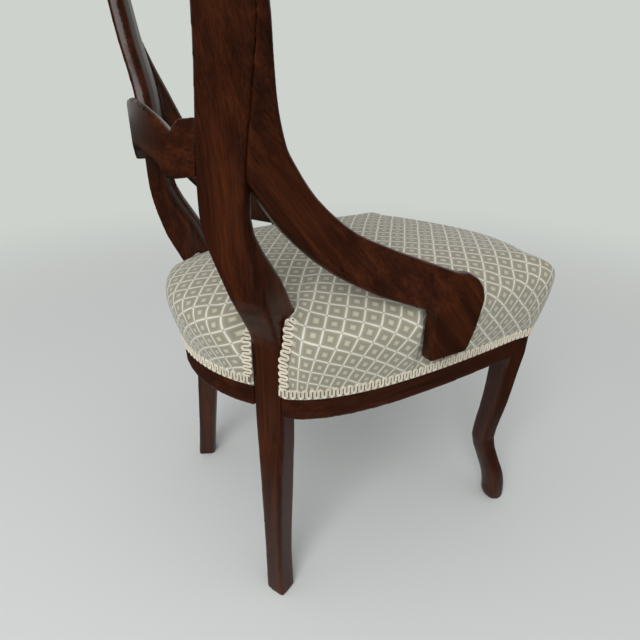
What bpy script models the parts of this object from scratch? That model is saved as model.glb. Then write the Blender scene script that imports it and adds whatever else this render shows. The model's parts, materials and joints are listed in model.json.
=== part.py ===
"""Balloon back side chair with hip braces, a bowed seat frame and a sprung, upholstered seat.

Metres, +Z up. The sitter faces -Y, so the right-hand side of the chair is at -X.
The origin is on the floor, under the middle of the chair.
"""
import math

import bmesh
import bpy
from mathutils import Matrix, Vector

# Driving dimensions, in metres and degrees
GAP = 0.0003                # glue line between pieces that touch
JOINT_FIT = 0.0003          # clearance round a tenon, a dowel or a screw

RAIL_BOTTOM = 0.299         # underside of the seat rails
RAIL_HEIGHT = 0.089
RAIL_SHOWN = 0.033          # polished strip below the braid
RAIL_THICK = 0.024

POST_X = 0.147              # middle of a rear post's outer face, at the seat
POST_Y = 0.197
POST_CANT = 24.0            # how far that face turns outwards from straight back
POST_WIDTH = 0.046
POST_DEPTH = 0.031          # front to back, under the seat rails
POST_KNUCKLE = 0.053        # and where the stile leaves the seat
POST_STEP = 0.022           # longest straight run along a post
REAR_BOW = 0.044            # how far the rear rail bows out past the posts
POST_EDGE = 0.003           # small round on the edges of the posts

FOOT_SPLAY = 0.0305         # rear foot, out from the seat block
FOOT_RAKE = 0.014           # and back from it
FOOT_WIDTH = 0.031
FOOT_DEPTH = 0.031
SHIN_WIDTH = 0.030          # narrowest part of a rear leg
SHIN_DEPTH = 0.031

CREST_JOINT_Z = 0.800       # where the crest rail sits on the posts
CREST_TOP = 0.930
CREST_BOW = 0.045           # how far the crest bows back past the joints
CREST_DEPTH_MIDDLE = 0.078
HOOP_THICK = 0.026
HOOP_ROUND = 0.012          # depth of the rounded front of the hoop

CROSS_TOP = 0.6595          # top of the crosspiece, in the middle
CROSS_HEIGHT = 0.052
CROSS_DIP = 0.028           # depth of the two dips in its top edge
CROSS_SAG = 0.025           # and of those in its lower edge
CROSS_DIP_X = 0.0905
CROSS_THICK = 0.018
CROSS_CREST = 0.005         # flat left along its top edge, in front of which it is bevelled
CROSS_BEVEL = 0.012         # height of that bevel
CROSS_BOW = 0.034           # how far it bows back past the posts
CROSS_BITE = 0.004          # how far the blank runs into a post before it is scribed to it

FRONT_HALF = 0.2005         # half the width over the front legs
SEAT_DEPTH = 0.4225         # from the outer face of the rear posts to the front of the leg blocks
FRONT_BOW = 0.022
SIDE_BOW = 0.009            # pulls that bow a side rail, towards its front and its rear end
SIDE_FRONT_PULL = 0.125
SIDE_REAR_PULL = (-0.058, -0.058)
SIDE_FACETS = 10            # straight runs that a bowed rail is drawn with
REAR_FACETS = 10
FRONT_FACETS = 8
LEG_BLOCK = 0.042           # square top of a front leg
CORNER_ROUND = 0.012
KNEE_WIDTH = 0.038
KNEE_IN = 0.003             # knee, ankle and toe, measured inwards along the diagonal
ANKLE_WIDTH = 0.033
ANKLE_IN = 0.020
TOE_WIDTH = 0.034
TOE_IN = -0.0135

BRACE_WIDTH = 0.051
BRACE_THICK = 0.021
BRACE_EDGE = 0.006          # round on the edges of a hip brace
BRACE_FOOT_Z = 0.366        # underside of its foot
BRACE_HEEL_Y = 0.014        # back of its foot
BRACE_TOE_Y = -0.050
BRACE_TOP = 0.755           # its tip, against the stile
NOSE_Y = -0.030             # centre of its round nose
NOSE_DROP = 0.002           # from the seat's shoulder down to that centre
NOSE_RADIUS = 0.039
NOSE_BROW = 0.004           # how much fuller the nose is where the sweep comes in
NOSE_FALL = 0.022           # how far the heel runs down while the nose turns
BRACE_PAD = 0.0040          # cover and glue line between a side rail and the foot of a brace
BRACE_LAP = 0.004           # rear edge of a post that a brace leaves free

COVER_THICK = 0.002
BRAID_HEIGHT = 0.0135
BRAID_THICK = 0.0022
SHOULDER_RISE = 0.046       # from the rails up to where the front of the seat turns in to its top
CROWN_RISE = 0.028          # from there up to the middle of the seat
CROWN_TIP = 0.0006          # and the last of it, over the innermost ring
SEAT_MIDDLE_Y = 0.005
SEAT_SWELL = 0.016          # how far it swells past the rails
STUFFING_FIT = 0.0025       # looseness of the cover over the stuffing
TUCK_LENGTH = 0.045         # over which the swell dies away beside a post
SIDE_DROP = 0.005           # how much lower the shoulder is along the sides
REAR_DROP = 0.009           # and at the back
PRESS_HALF = 0.042          # half the length that the foot of a brace presses flat
PRESS_FADE = 0.040          # and over which the swell comes back
STUFFING_STEP = 0.004       # least height of the stuffing's lowest ring
NOTCH_FIT = 0.0008          # room round a post or a leg where cloth and blocks are cut to it

WEB_WIDTH = 0.050
WEB_THICK = 0.0016
LINING_THICK = 0.0010
HESSIAN_THICK = 0.0015
SPRING_WIRE = 0.0036
SPRING_RADIUS = 0.042
SPRING_WAIST = 0.024
SPRING_TURNS = 5
SPRING_X = 0.082
SPRING_FRONT_Y = -0.115
SPRING_REAR_Y = 0.075

TENON_LENGTH = 0.017
TENON_THICK = 0.009
TENON_SHOULDER = 0.010      # rail left above and below a tenon
BLOCK_HEIGHT = 0.040
BLOCK_LEG = 0.052           # how far a corner block runs along a rail
BLOCK_CLEAR = 0.010         # from the leg to the block
SCREW_RADIUS = 0.0022
SCREW_HEAD = 0.0042
SCREW_LENGTH = 0.034
DOWEL_RADIUS = 0.0040
PIN_SIDES = 12              # flats that a dowel or a screw is drawn with

# Sizes that follow from them
RAIL_TOP = RAIL_BOTTOM + RAIL_HEIGHT
BRAID_Z = RAIL_BOTTOM + RAIL_SHOWN
FRONT_Y = POST_Y - SEAT_DEPTH
SEAT_SHOULDER = RAIL_TOP + SHOULDER_RISE
SEAT_CROWN = SEAT_SHOULDER + CROWN_RISE
NOSE_Z = SEAT_SHOULDER - NOSE_DROP
BLOCK_Z = RAIL_TOP - BLOCK_HEIGHT - 0.012
SIDES = {"right": -1, "left": 1}

WALNUT = ((0.072, 0.026, 0.013), 0.32)
INNER_WOOD = ((0.36, 0.24, 0.13), 0.7)
STEEL = ((0.35, 0.35, 0.36), 0.4)
FABRIC = ((0.42, 0.41, 0.33), 0.9)
CREAM = ((0.62, 0.57, 0.46), 0.9)
JUTE = ((0.40, 0.29, 0.16), 0.95)
HAIR = ((0.10, 0.07, 0.05), 0.95)
BLACK_CLOTH = ((0.03, 0.03, 0.03), 0.95)


for old in list(bpy.data.objects):
    bpy.data.objects.remove(old, do_unlink=True)

chair = bpy.data.collections.new("balloon_back_chair")
cutters = bpy.data.collections.new("cutters")
bpy.context.scene.collection.children.link(chair)
bpy.context.scene.collection.children.link(cutters)


# Small tools
def material(name, finish, metallic=0.0):
    """A plain Principled material of the piece's own."""
    colour, roughness = finish
    made = bpy.data.materials.new(name)
    made.use_nodes = True
    shader = made.node_tree.nodes["Principled BSDF"]
    shader.inputs["Base Color"].default_value = (*colour, 1.0)
    shader.inputs["Roughness"].default_value = roughness
    shader.inputs["Metallic"].default_value = metallic
    made.diffuse_color = (*colour, 1.0)
    return made


def place(name, mesh, finish, metallic=0.0):
    """Put a mesh in the chair, or among the cutters where it has no finish."""
    made = bpy.data.objects.new(name, mesh)
    if finish is None:
        made.hide_render = True
        made.display_type = "WIRE"
        cutters.objects.link(made)
    else:
        mesh.materials.append(material(name, finish, metallic))
        chair.objects.link(made)
    return made


def mesh_from(name, shape, smooth_angle=35.0):
    """Turn a bmesh into a mesh with its faces pointing out."""
    bmesh.ops.recalc_face_normals(shape, faces=shape.faces)
    mesh = bpy.data.meshes.new(name)
    shape.to_mesh(mesh)
    shape.free()
    mesh.shade_smooth()
    mesh.set_sharp_from_angle(angle=math.radians(smooth_angle))
    return mesh


def loft(name, rings, finish):
    """Skin a row of closed rings that have the same number of points, and cap both ends."""
    shape = bmesh.new()
    loops = [[shape.verts.new(point) for point in ring] for ring in rings]
    count = len(loops[0])
    for low, high in zip(loops, loops[1:]):
        for i in range(count):
            j = (i + 1) % count
            shape.faces.new((low[i], low[j], high[j], high[i]))
    shape.faces.new(reversed(loops[0]))
    shape.faces.new(loops[-1])
    return place(name, mesh_from(name, shape), finish)


def plate(name, outline, bottom, top, finish):
    """A flat outline, in plan, filled and drawn up from bottom to top."""
    curve = bpy.data.curves.new(name, "CURVE")
    curve.dimensions = "2D"
    curve.fill_mode = "BOTH"
    curve.extrude = (top - bottom) / 2
    spline = curve.splines.new("POLY")
    spline.points.add(len(outline) - 1)
    for point, (x, y) in zip(spline.points, outline):
        point.co = (x, y, 0.0, 1.0)
    spline.use_cyclic_u = True
    return solid_from_curve(name, curve, Matrix.Translation((0, 0, (top + bottom) / 2)), finish)


def solid_from_curve(name, curve, matrix, finish, metallic=0.0):
    """Make a mesh object from a curve, with its caps welded on."""
    source = bpy.data.objects.new(name + "_curve", curve)
    source.matrix_world = matrix
    bpy.context.scene.collection.objects.link(source)
    bpy.context.view_layer.update()
    depsgraph = bpy.context.evaluated_depsgraph_get()
    mesh = bpy.data.meshes.new_from_object(source.evaluated_get(depsgraph))
    bpy.data.objects.remove(source, do_unlink=True)
    bpy.data.curves.remove(curve)
    mesh.materials.clear()
    shape = bmesh.new()
    shape.from_mesh(mesh)
    bpy.data.meshes.remove(mesh)
    bmesh.ops.transform(shape, matrix=matrix, verts=shape.verts)
    bmesh.ops.remove_doubles(shape, verts=shape.verts, dist=0.00002)
    return place(name, mesh_from(name, shape), finish, metallic)


def cut(piece, tool, operation="DIFFERENCE"):
    """Boolean one piece with a cutter."""
    modifier = piece.modifiers.new(tool.name, "BOOLEAN")
    modifier.operation = operation
    modifier.solver = "EXACT"
    modifier.object = tool


def bar(name, start, along, up, length, thick, height, grow=0.0):
    """A cutter box that runs from start along a direction, grown on every side."""
    along = Vector(along).normalized()
    up = Vector(up).normalized()
    across = up.cross(along)
    middle = Vector(start) + along * length / 2
    frame = Matrix((along, across, up)).transposed().to_4x4()
    sizes = (length + 2 * grow, thick + 2 * grow, height + 2 * grow, 1.0)
    shape = bmesh.new()
    bmesh.ops.create_cube(shape, size=1.0)
    bmesh.ops.transform(shape, matrix=Matrix.Translation(middle) @ frame @ Matrix.Diagonal(sizes),
                        verts=shape.verts)
    return place(name, mesh_from(name, shape), None)


def turned(name, start, along, profile, finish, metallic=0.0):
    """A pin turned about a line: profile gives (distance along, radius) in order."""
    rows = [(profile[-1][0], 0.0)] + list(reversed(profile)) + [(profile[0][0], 0.0)]
    mesh = bpy.data.meshes.new(name)
    mesh.from_pydata([(radius, 0, height) for height, radius in rows],
                     [(i, i + 1) for i in range(len(rows) - 1)], [])
    made = place(name, mesh, finish, metallic)
    turn = Vector((0, 0, 1)).rotation_difference(Vector(along).normalized())
    made.matrix_world = Matrix.Translation(start) @ turn.to_matrix().to_4x4()
    turning = made.modifiers.new("turning", "SCREW")
    turning.axis = "Z"
    turning.steps = PIN_SIDES
    turning.render_steps = PIN_SIDES
    turning.use_merge_vertices = True
    turning.merge_threshold = 0.00005
    return made


def dowel(name, middle, along, length, pieces):
    """A beech dowel let into two pieces, half its length in each."""
    along = Vector(along).normalized()
    start = Vector(middle) - along * length / 2
    bevel = DOWEL_RADIUS / 4
    turned(name, start, along, [(0, DOWEL_RADIUS - bevel), (bevel, DOWEL_RADIUS),
                                (length - bevel, DOWEL_RADIUS), (length, DOWEL_RADIUS - bevel)],
           INNER_WOOD)
    wide = DOWEL_RADIUS + JOINT_FIT
    hole = turned(name + "_hole", start - along * JOINT_FIT, along,
                  [(0, wide), (length + 2 * JOINT_FIT, wide)], None)
    for piece in pieces:
        cut(piece, hole)


def screw(name, head, along, length, pieces):
    """A countersunk wood screw, its head flush with the first piece that it holds."""
    along = Vector(along).normalized()
    cone = SCREW_HEAD - SCREW_RADIUS
    turned(name, head, along, [(0, SCREW_HEAD), (cone, SCREW_RADIUS), (length - cone, SCREW_RADIUS),
                               (length, SCREW_RADIUS / 3)], STEEL, 1.0)
    reach = 0.002
    wide = SCREW_RADIUS + JOINT_FIT
    hole = turned(name + "_hole", Vector(head) - along * reach, along,
                  [(0, SCREW_HEAD + JOINT_FIT), (reach + JOINT_FIT, SCREW_HEAD + JOINT_FIT),
                   (reach + cone + JOINT_FIT, wide), (reach + length + JOINT_FIT, wide)], None)
    for piece in pieces:
        cut(piece, hole)


def mirrored(points, side):
    """Points of a right-hand piece, moved to the side asked for."""
    if side < 0:
        return list(points)
    return [Vector((-p[0], *p[1:])) for p in points]


def smooth_table(stations):
    """A function that runs smoothly through rows of numbers, without overshoot."""
    keys = [row[0] for row in stations]

    def slope(k, column):
        if k == 0 or k == len(stations) - 1:
            return None
        before = (stations[k][column] - stations[k - 1][column]) / (keys[k] - keys[k - 1])
        after = (stations[k + 1][column] - stations[k][column]) / (keys[k + 1] - keys[k])
        if before * after <= 0:
            return 0.0
        return 2 * before * after / (before + after)

    def at(key):
        k = max(i for i in range(len(keys) - 1) if keys[i] <= key or i == 0)
        span = keys[k + 1] - keys[k]
        t = min(max((key - keys[k]) / span, 0.0), 1.0)
        values = []
        for column in range(1, len(stations[0])):
            a, b = stations[k][column], stations[k + 1][column]
            chord = (b - a) / span
            start, end = slope(k, column), slope(k + 1, column)
            start = chord if start is None else start
            end = chord if end is None else end
            values.append((2 * t**3 - 3 * t**2 + 1) * a + (t**3 - 2 * t**2 + t) * span * start
                          + (3 * t**2 - 2 * t**3) * b + (t**3 - t**2) * span * end)
        return values

    return at


def steps_between(stations, share):
    """Every station's key, with extra keys between stations that are further apart than share."""
    keys = [stations[0][0]]
    for low, high in zip(stations, stations[1:]):
        count = max(1, math.ceil((high[0] - low[0]) / share))
        keys += [low[0] + (high[0] - low[0]) * (i + 1) / count for i in range(count)]
    return keys


def bezier(p0, p1, p2, p3, count):
    """Points along a cubic curve in plan."""
    points = []
    for i in range(count + 1):
        t = i / count
        points.append(Vector(p0) * (1 - t)**3 + Vector(p1) * 3 * t * (1 - t)**2
                      + Vector(p2) * 3 * t**2 * (1 - t) + Vector(p3) * t**3)
    return points


def arc(start, end, bow, count):
    """Points on a round arc from start to end that stands off its chord by bow, to the left."""
    start, end = Vector(start), Vector(end)
    chord = end - start
    half = chord.length / 2
    radius = (half**2 + bow**2) / (2 * bow)
    normal = Vector((-chord.y, chord.x)).normalized()
    centre = (start + end) / 2 - normal * (radius - bow)
    swing = math.asin(half / radius)
    forward = chord.normalized()
    points = []
    for i in range(count + 1):
        angle = -swing + 2 * swing * i / count
        points.append(centre + normal * radius * math.cos(angle) + forward * radius * math.sin(angle))
    return points


def offset(points, distance):
    """An open line in plan, moved to its left by a distance."""
    moved = []
    for i, point in enumerate(points):
        tangent = points[min(i + 1, len(points) - 1)] - points[max(i - 1, 0)]
        moved.append(point + Vector((-tangent.y, tangent.x)).normalized() * distance)
    return moved


# Rear posts: leg and stile in one length of timber, sawn to a double curve
# Each row: height, outer face x, y, cant, width, depth, depth of the rounded front
POST_ROWS = [
    (0.000, POST_X + FOOT_SPLAY, POST_Y + FOOT_RAKE, POST_CANT, FOOT_WIDTH, FOOT_DEPTH, 0.005),
    (0.055, POST_X + 0.72 * FOOT_SPLAY, POST_Y + 0.80 * FOOT_RAKE, POST_CANT, SHIN_WIDTH, SHIN_DEPTH, 0.005),
    (0.190, POST_X + 0.28 * FOOT_SPLAY, POST_Y + 0.36 * FOOT_RAKE, POST_CANT, 0.037, 0.034, 0.005),
    (RAIL_BOTTOM - 0.010, POST_X, POST_Y, POST_CANT, POST_WIDTH, POST_DEPTH, 0.004),
    (RAIL_TOP - 0.022, POST_X, POST_Y, POST_CANT, POST_WIDTH, POST_DEPTH + 0.006, 0.005),
    (RAIL_TOP + 0.004, POST_X, POST_Y, POST_CANT, POST_WIDTH, POST_KNUCKLE - 0.005, 0.007),
    (RAIL_TOP + 0.037, 0.1505, 0.2065, 27.5, 0.048, POST_KNUCKLE + 0.001, 0.010),
    (RAIL_TOP + 0.072, 0.1560, 0.2200, 31.0, 0.052, POST_KNUCKLE, 0.011),
    (0.552, 0.1424, 0.2395, 28.0, 0.060, 0.027, HOOP_ROUND),
    (0.644, 0.1594, 0.2390, 24.0, 0.068, HOOP_THICK, HOOP_ROUND),
    (0.736, 0.2020, 0.2465, 20.0, 0.074, HOOP_THICK, HOOP_ROUND),
    (CREST_JOINT_Z, 0.2150, 0.2530, 18.0, 0.072, HOOP_THICK, HOOP_ROUND),
]
post_at = smooth_table(POST_ROWS)


def post_frame(z):
    """Outer face middle, direction along the face to the inside, and outward normal, right post."""
    x, y, cant, *sizes = post_at(z)
    turn = math.radians(cant)
    inward = Vector((math.cos(turn), math.sin(turn), 0))
    outward = Vector((-math.sin(turn), math.cos(turn), 0))
    return Vector((-x, y, z)), inward, outward, sizes


def d_section(face, inward, outward, width, depth, nose, grow=0.0, reach=0.0, fin=0.0):
    """A ring with a flat outer face, square sides and a rounded front; a fin widens its outer side."""
    half = width / 2 + grow
    edge = min(POST_EDGE, depth / 4)
    low = -grow - reach
    shoulder = depth - nose
    spots = [(half - edge, low), (-half + edge, low), (-half, low + edge), (-half, shoulder)]
    if fin:
        spots[1:3] = [(-half - fin, low), (-half - fin, BRACE_LAP), (-half, BRACE_LAP)]
    elif reach:
        spots[3:3] = [(-half, edge)]
    for angle in (150, 120, 90, 60, 30):
        swing = math.radians(angle)
        spots.append((half * math.cos(swing), shoulder + (nose + grow) * math.sin(swing)))
    spots.append((half, shoulder))
    if reach:
        spots.append((half, edge))
    spots.append((half, low + edge))
    return [face + inward * a - outward * b for a, b in spots]


def post_rings(side, grow=0.0, reach=0.0, fin=0.0, low=0.0, high=CREST_JOINT_Z):
    """Rings up a post, grown on every side and reaching out past its outer face."""
    rings = []
    for z in steps_between(POST_ROWS, POST_STEP):
        if low - 1e-6 <= z <= high + 1e-6:
            face, inward, outward, sizes = post_frame(z)
            rings.append(mirrored(d_section(face, inward, outward, *sizes, grow, reach, fin), side))
    return rings


posts = {}
post_clear = {}                 # cuts a piece scribed to a post
post_lap = {}                   # cuts a hip brace, and clears the post's rear edge too
post_notch = {}                 # cuts cloth, blocks and lining where a post passes
for label, side in SIDES.items():
    posts[label] = loft("rear_post_" + label, post_rings(side), WALNUT)
    post_clear[label] = loft("post_clearance_" + label, post_rings(side, GAP, low=RAIL_TOP), None)
    post_lap[label] = loft("post_lap_" + label,
                           post_rings(side, GAP, BRACE_WIDTH, BRACE_WIDTH, low=SEAT_CROWN), None)
    post_notch[label] = loft("post_notch_" + label,
                             post_rings(side, NOTCH_FIT, POST_WIDTH, low=RAIL_BOTTOM - POST_WIDTH,
                                        high=SEAT_CROWN + 2 * POST_WIDTH), None)

# Front legs: square block at the seat, cabriole shape below it
front_corner = Vector((-FRONT_HALF, FRONT_Y, 0))
DIAGONAL = Vector((1, 1, 0)).normalized()
# Each row: height, shift inwards, width, bevel of the inner corners and of the outer one
LEG_ROWS = [
    (0.000, TOE_IN, TOE_WIDTH - 0.004, 0.010, 0.010),
    (0.012, TOE_IN, TOE_WIDTH, 0.011, 0.011),
    (0.045, TOE_IN + 0.005, TOE_WIDTH, 0.011, 0.011),
    (0.085, TOE_IN + 0.021, ANKLE_WIDTH, 0.011, 0.011),
    (0.125, ANKLE_IN, ANKLE_WIDTH, 0.010, 0.010),
    (0.200, ANKLE_IN - 0.009, KNEE_WIDTH - 0.003, 0.009, 0.009),
    (RAIL_BOTTOM - 0.020, KNEE_IN, KNEE_WIDTH, 0.005, 0.010),
    (RAIL_BOTTOM - 0.002, 0.0, LEG_BLOCK, 0.002, CORNER_ROUND),
    (RAIL_TOP, 0.0, LEG_BLOCK, 0.002, CORNER_ROUND),
]
leg_at = smooth_table(LEG_ROWS)


def leg_ring(z, side, grow=0.0):
    """A square with bevelled corners; its outer corner follows the diagonal line of the leg."""
    inset, width, inner_bevel, outer_bevel = leg_at(z)
    half = width / 2 + grow
    middle = front_corner + DIAGONAL * inset + Vector((width / 2, width / 2, z))
    ring = []
    for quarter in range(4):
        turn = Matrix.Rotation(math.radians(90 * quarter), 3, "Z")
        bevel = outer_bevel if quarter == 2 else inner_bevel
        for spot in ((half, half - bevel), (half - 0.3 * bevel, half - 0.3 * bevel), (half - bevel, half)):
            ring.append(middle + turn @ Vector((*spot, 0)))
    return mirrored(ring, side)


front_legs = {}
leg_clear = {}
for label, side in SIDES.items():
    levels = steps_between(LEG_ROWS, 0.02)
    front_legs[label] = loft("front_leg_" + label, [leg_ring(z, side) for z in levels], WALNUT)
    rings = [leg_ring(z, side, NOTCH_FIT) for z in levels if z > RAIL_BOTTOM - LEG_BLOCK]
    leg_clear[label] = loft("leg_clearance_" + label, rings, None)

# Seat rails, sawn to their bow in plan, each with a tenon at both ends
seat_face, seat_inward, seat_outward, _ = post_frame(RAIL_BOTTOM)
seat_inward, seat_outward = seat_inward.to_2d(), seat_outward.to_2d()
post_rear_edge = seat_face.to_2d() + seat_inward * POST_WIDTH / 2
post_side_edge = seat_face.to_2d() - seat_inward * POST_WIDTH / 2
leg_back_y = FRONT_Y + LEG_BLOCK
leg_inner_x = -FRONT_HALF + LEG_BLOCK
side_line = bezier(post_side_edge - seat_inward * GAP, post_side_edge + Vector(SIDE_REAR_PULL),
                   (-FRONT_HALF - SIDE_BOW, leg_back_y + SIDE_FRONT_PULL),
                   (-FRONT_HALF, leg_back_y + GAP), SIDE_FACETS)
rear_start = post_rear_edge + seat_inward * GAP
rear_line = arc(rear_start, (-rear_start.x, rear_start.y), REAR_BOW, REAR_FACETS)[::-1]
front_end = -leg_inner_x - GAP
front_line = arc((front_end, FRONT_Y), (-front_end, FRONT_Y), FRONT_BOW, FRONT_FACETS)[::-1]


def side_rail_outline():
    """Outer line from post to front leg, and back along the inner line."""
    inner = offset(side_line, RAIL_THICK)
    slant = (inner[0] - side_line[0]).normalized().dot(-seat_outward)
    inner[0] = side_line[0] - seat_outward * RAIL_THICK / slant
    inner[-1] = Vector((-FRONT_HALF + RAIL_THICK, leg_back_y + GAP))
    return side_line + inner[::-1]


def rear_rail_outline():
    """Outer line across the back, and back along the inner line."""
    left_outward = Vector((-seat_outward.x, seat_outward.y))
    inner = offset(rear_line, RAIL_THICK)
    slant = (inner[0] - rear_line[0]).normalized().dot(-left_outward)
    inner[0] = rear_line[0] - left_outward * RAIL_THICK / slant
    inner[-1] = rear_line[-1] - seat_outward * RAIL_THICK / slant
    return rear_line + inner[::-1]


def front_rail_outline():
    """Outer line across the front, and back along the inner line."""
    inner = offset(front_line, RAIL_THICK)
    inner[0] = Vector((front_line[0].x, FRONT_Y + RAIL_THICK))
    inner[-1] = Vector((front_line[-1].x, FRONT_Y + RAIL_THICK))
    return front_line + inner[::-1]


side_outline = side_rail_outline()
rear_outline = rear_rail_outline()
front_outline = front_rail_outline()
rails = {
    "rear": plate("rear_rail", rear_outline, RAIL_BOTTOM, RAIL_TOP, WALNUT),
    "front": plate("front_rail", front_outline, RAIL_BOTTOM, RAIL_TOP, WALNUT),
}
for label, side in SIDES.items():
    rails[label] = plate("side_rail_" + label, [p[:2] for p in mirrored(side_outline, side)],
                         RAIL_BOTTOM, RAIL_TOP, WALNUT)


def tenon(name, start, along, height_middle, height, rail, receiver, length=TENON_LENGTH):
    """A tongue on a rail, and its mortise in the piece that takes it."""
    along = Vector((*along, 0)).normalized()
    root = Vector((*start, height_middle)) - along * RAIL_THICK * 0.6
    full = length + RAIL_THICK * 0.6
    cut(rail, bar(name, root, along, (0, 0, 1), full, TENON_THICK, height), "UNION")
    cut(receiver, bar(name + "_mortise", root, along, (0, 0, 1), full, TENON_THICK, height, JOINT_FIT))


rail_middle = (RAIL_BOTTOM + RAIL_TOP) / 2
tenon_height = RAIL_HEIGHT - 2 * TENON_SHOULDER
rear_root = post_rear_edge - seat_outward * RAIL_THICK / 2
side_root = (side_line[0] + side_outline[-1]) / 2
for label, side in SIDES.items():
    # Each row: name, root and direction on the right-hand side, the rail and the piece that takes it
    for name, root, along, rail, receiver in (
            ("rear_tenon_", rear_root, -seat_inward, rails["rear"], posts[label]),
            ("side_rear_tenon_", side_root, seat_inward, rails[label], posts[label]),
            ("side_front_tenon_", (-FRONT_HALF + RAIL_THICK / 2, leg_back_y), (0, -1),
             rails[label], front_legs[label]),
            ("front_tenon_", (leg_inner_x, FRONT_Y + RAIL_THICK / 2), (-1, 0),
             rails["front"], front_legs[label])):
        root, along = mirrored([Vector(root), Vector(along)], side)
        tenon(name + label, root, along, rail_middle, tenon_height, rail, receiver)

# Crosspiece: bowed in plan, with a waved edge above and below
cross_middle = CROSS_TOP - CROSS_HEIGHT / 2
cross_face, cross_inward, cross_outward, (cross_post_width, cross_post_depth, _) = post_frame(cross_middle)
cross_edge = cross_face + cross_inward * cross_post_width / 2 - cross_outward * POST_EDGE
cross_end = (cross_edge - cross_inward * CROSS_BITE).to_2d()
cross_low = CROSS_TOP - CROSS_HEIGHT
# Each row: distance from the middle, height of the lower and of the upper edge
CROSS_ROWS = [
    (0.0, cross_low, CROSS_TOP),
    (0.42 * CROSS_DIP_X, cross_low - 0.18 * CROSS_SAG, CROSS_TOP - 0.19 * CROSS_DIP),
    (0.66 * CROSS_DIP_X, cross_low - 0.50 * CROSS_SAG, CROSS_TOP - 0.46 * CROSS_DIP),
    (0.83 * CROSS_DIP_X, cross_low - CROSS_SAG, CROSS_TOP - 0.77 * CROSS_DIP),
    (CROSS_DIP_X, cross_low - 0.90 * CROSS_SAG, CROSS_TOP - CROSS_DIP),
    (1.04 * CROSS_DIP_X, cross_low - 0.86 * CROSS_SAG, CROSS_TOP - 0.76 * CROSS_DIP),
    (1.14 * CROSS_DIP_X, cross_low - 0.80 * CROSS_SAG, CROSS_TOP - 0.55 * CROSS_DIP),
    (1.35 * CROSS_DIP_X, cross_low - 0.74 * CROSS_SAG, CROSS_TOP - 0.47 * CROSS_DIP),
    (2.00 * CROSS_DIP_X, cross_low - 0.74 * CROSS_SAG, CROSS_TOP - 0.45 * CROSS_DIP),
]
cross_edges = smooth_table(CROSS_ROWS)

cross_half = -cross_end.x
cross_radius = (cross_half**2 + CROSS_BOW**2) / (2 * CROSS_BOW)


def cross_ring(x):
    """A section across the crosspiece: an upright rear face, and a top that is bevelled at the front."""
    low, high = cross_edges(abs(x))
    rear = cross_end.y + CROSS_BOW - cross_radius + math.sqrt(cross_radius**2 - x**2)
    front = rear - CROSS_THICK
    return [Vector((x, y, z)) for y, z in ((rear, low), (rear, high), (rear - CROSS_CREST, high),
                                           (front, high - CROSS_BEVEL), (front, low))]


columns = [x for x in steps_between(CROSS_ROWS, 0.012) if x < cross_half - 0.003] + [cross_half]
columns = [-x for x in columns[:0:-1]] + columns
cross = loft("back_crosspiece", [cross_ring(x) for x in columns], WALNUT)
for label in SIDES:
    cut(cross, post_clear[label])
end_low, end_high = cross_edges(abs(cross_end.x))
for label, side in SIDES.items():
    root = (cross_edge - cross_outward * CROSS_THICK / 2).to_2d()
    root, along = mirrored([root, -cross_inward.to_2d()], side)
    tenon("cross_tenon_" + label, root, along, (end_low + end_high) / 2, (end_high - end_low) * 0.55,
          cross, posts[label])

# Crest rail: the top of the hoop, from post to post
crest_face, _, _, (crest_width, crest_depth, crest_nose) = post_frame(CREST_JOINT_Z)
crest_cant = math.radians(post_at(CREST_JOINT_Z)[2])
crest_half = -crest_face.x
CREST_STEPS = 28


def crest_ring(share):
    """A section of the hoop; share runs from the right joint, 0, to the left joint, 1."""
    angle = math.pi * share
    rise = CREST_TOP - CREST_JOINT_Z - CREST_DEPTH_MIDDLE / 2 - GAP
    lift = math.sin(angle)
    spot = Vector((-crest_half * math.cos(angle), crest_face.y + CREST_BOW * lift**2,
                   CREST_JOINT_Z + GAP + rise * lift))
    tangent = Vector((crest_half * math.sin(angle), 2 * CREST_BOW * lift * math.cos(angle),
                      rise * math.cos(angle))).normalized()
    turn = crest_cant * math.cos(angle)
    outward = Vector((-math.sin(turn), math.cos(turn), 0))
    outward = (outward - tangent * outward.dot(tangent)).normalized()
    inward = tangent.cross(outward)
    if inward.dot(Vector((math.cos(angle), 0, -math.sin(angle)))) < 0:
        inward = -inward
    width = crest_width + (CREST_DEPTH_MIDDLE - crest_width) * lift**2
    return d_section(spot, inward, outward, width, crest_depth, crest_nose)


crest = loft("crest_rail", [crest_ring(i / CREST_STEPS) for i in range(CREST_STEPS + 1)], WALNUT)
for label, side in SIDES.items():
    face, inward, outward, sizes = post_frame(CREST_JOINT_Z)
    spot = mirrored([face - outward * sizes[1] / 2 + Vector((0, 0, GAP / 2))], side)[0]
    dowel("crest_dowel_" + label, spot, (0, 0, 1), 0.050, (posts[label], crest))

# Hip braces: sawn boards that sweep from the stiles down to the side rails
# Each row of the sweep: place along it, and shares of the post's y, of the rise from the nose to the tip,
# of the post's x and of the width
SWEEP_SHARES = [
    (0, 1.1624, 1.0000, 1.6497, 0.330),
    (1, 1.1345, 0.8978, 1.5782, 0.431),
    (2, 1.1117, 0.8142, 1.4864, 0.549),
    (3, 1.0761, 0.6811, 1.3333, 0.824),
    (4, 1.0305, 0.5697, 1.2619, 0.980),
    (5, 0.9543, 0.4861, 1.2347, 1.000),
    (6, 0.8274, 0.3777, 1.2313, 1.000),
    (7, 0.5558, 0.2260, 1.2721, 1.040),
    (8, 0.3020, 0.1430, 1.3878, 1.110),
]
SWEEP_ROWS = [(place, y * POST_Y, NOSE_Z + z * (BRACE_TOP - NOSE_Z), x * POST_X, width * BRACE_WIDTH)
              for place, y, z, x, width in SWEEP_SHARES]
sweep_at = smooth_table(SWEEP_ROWS)


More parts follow.
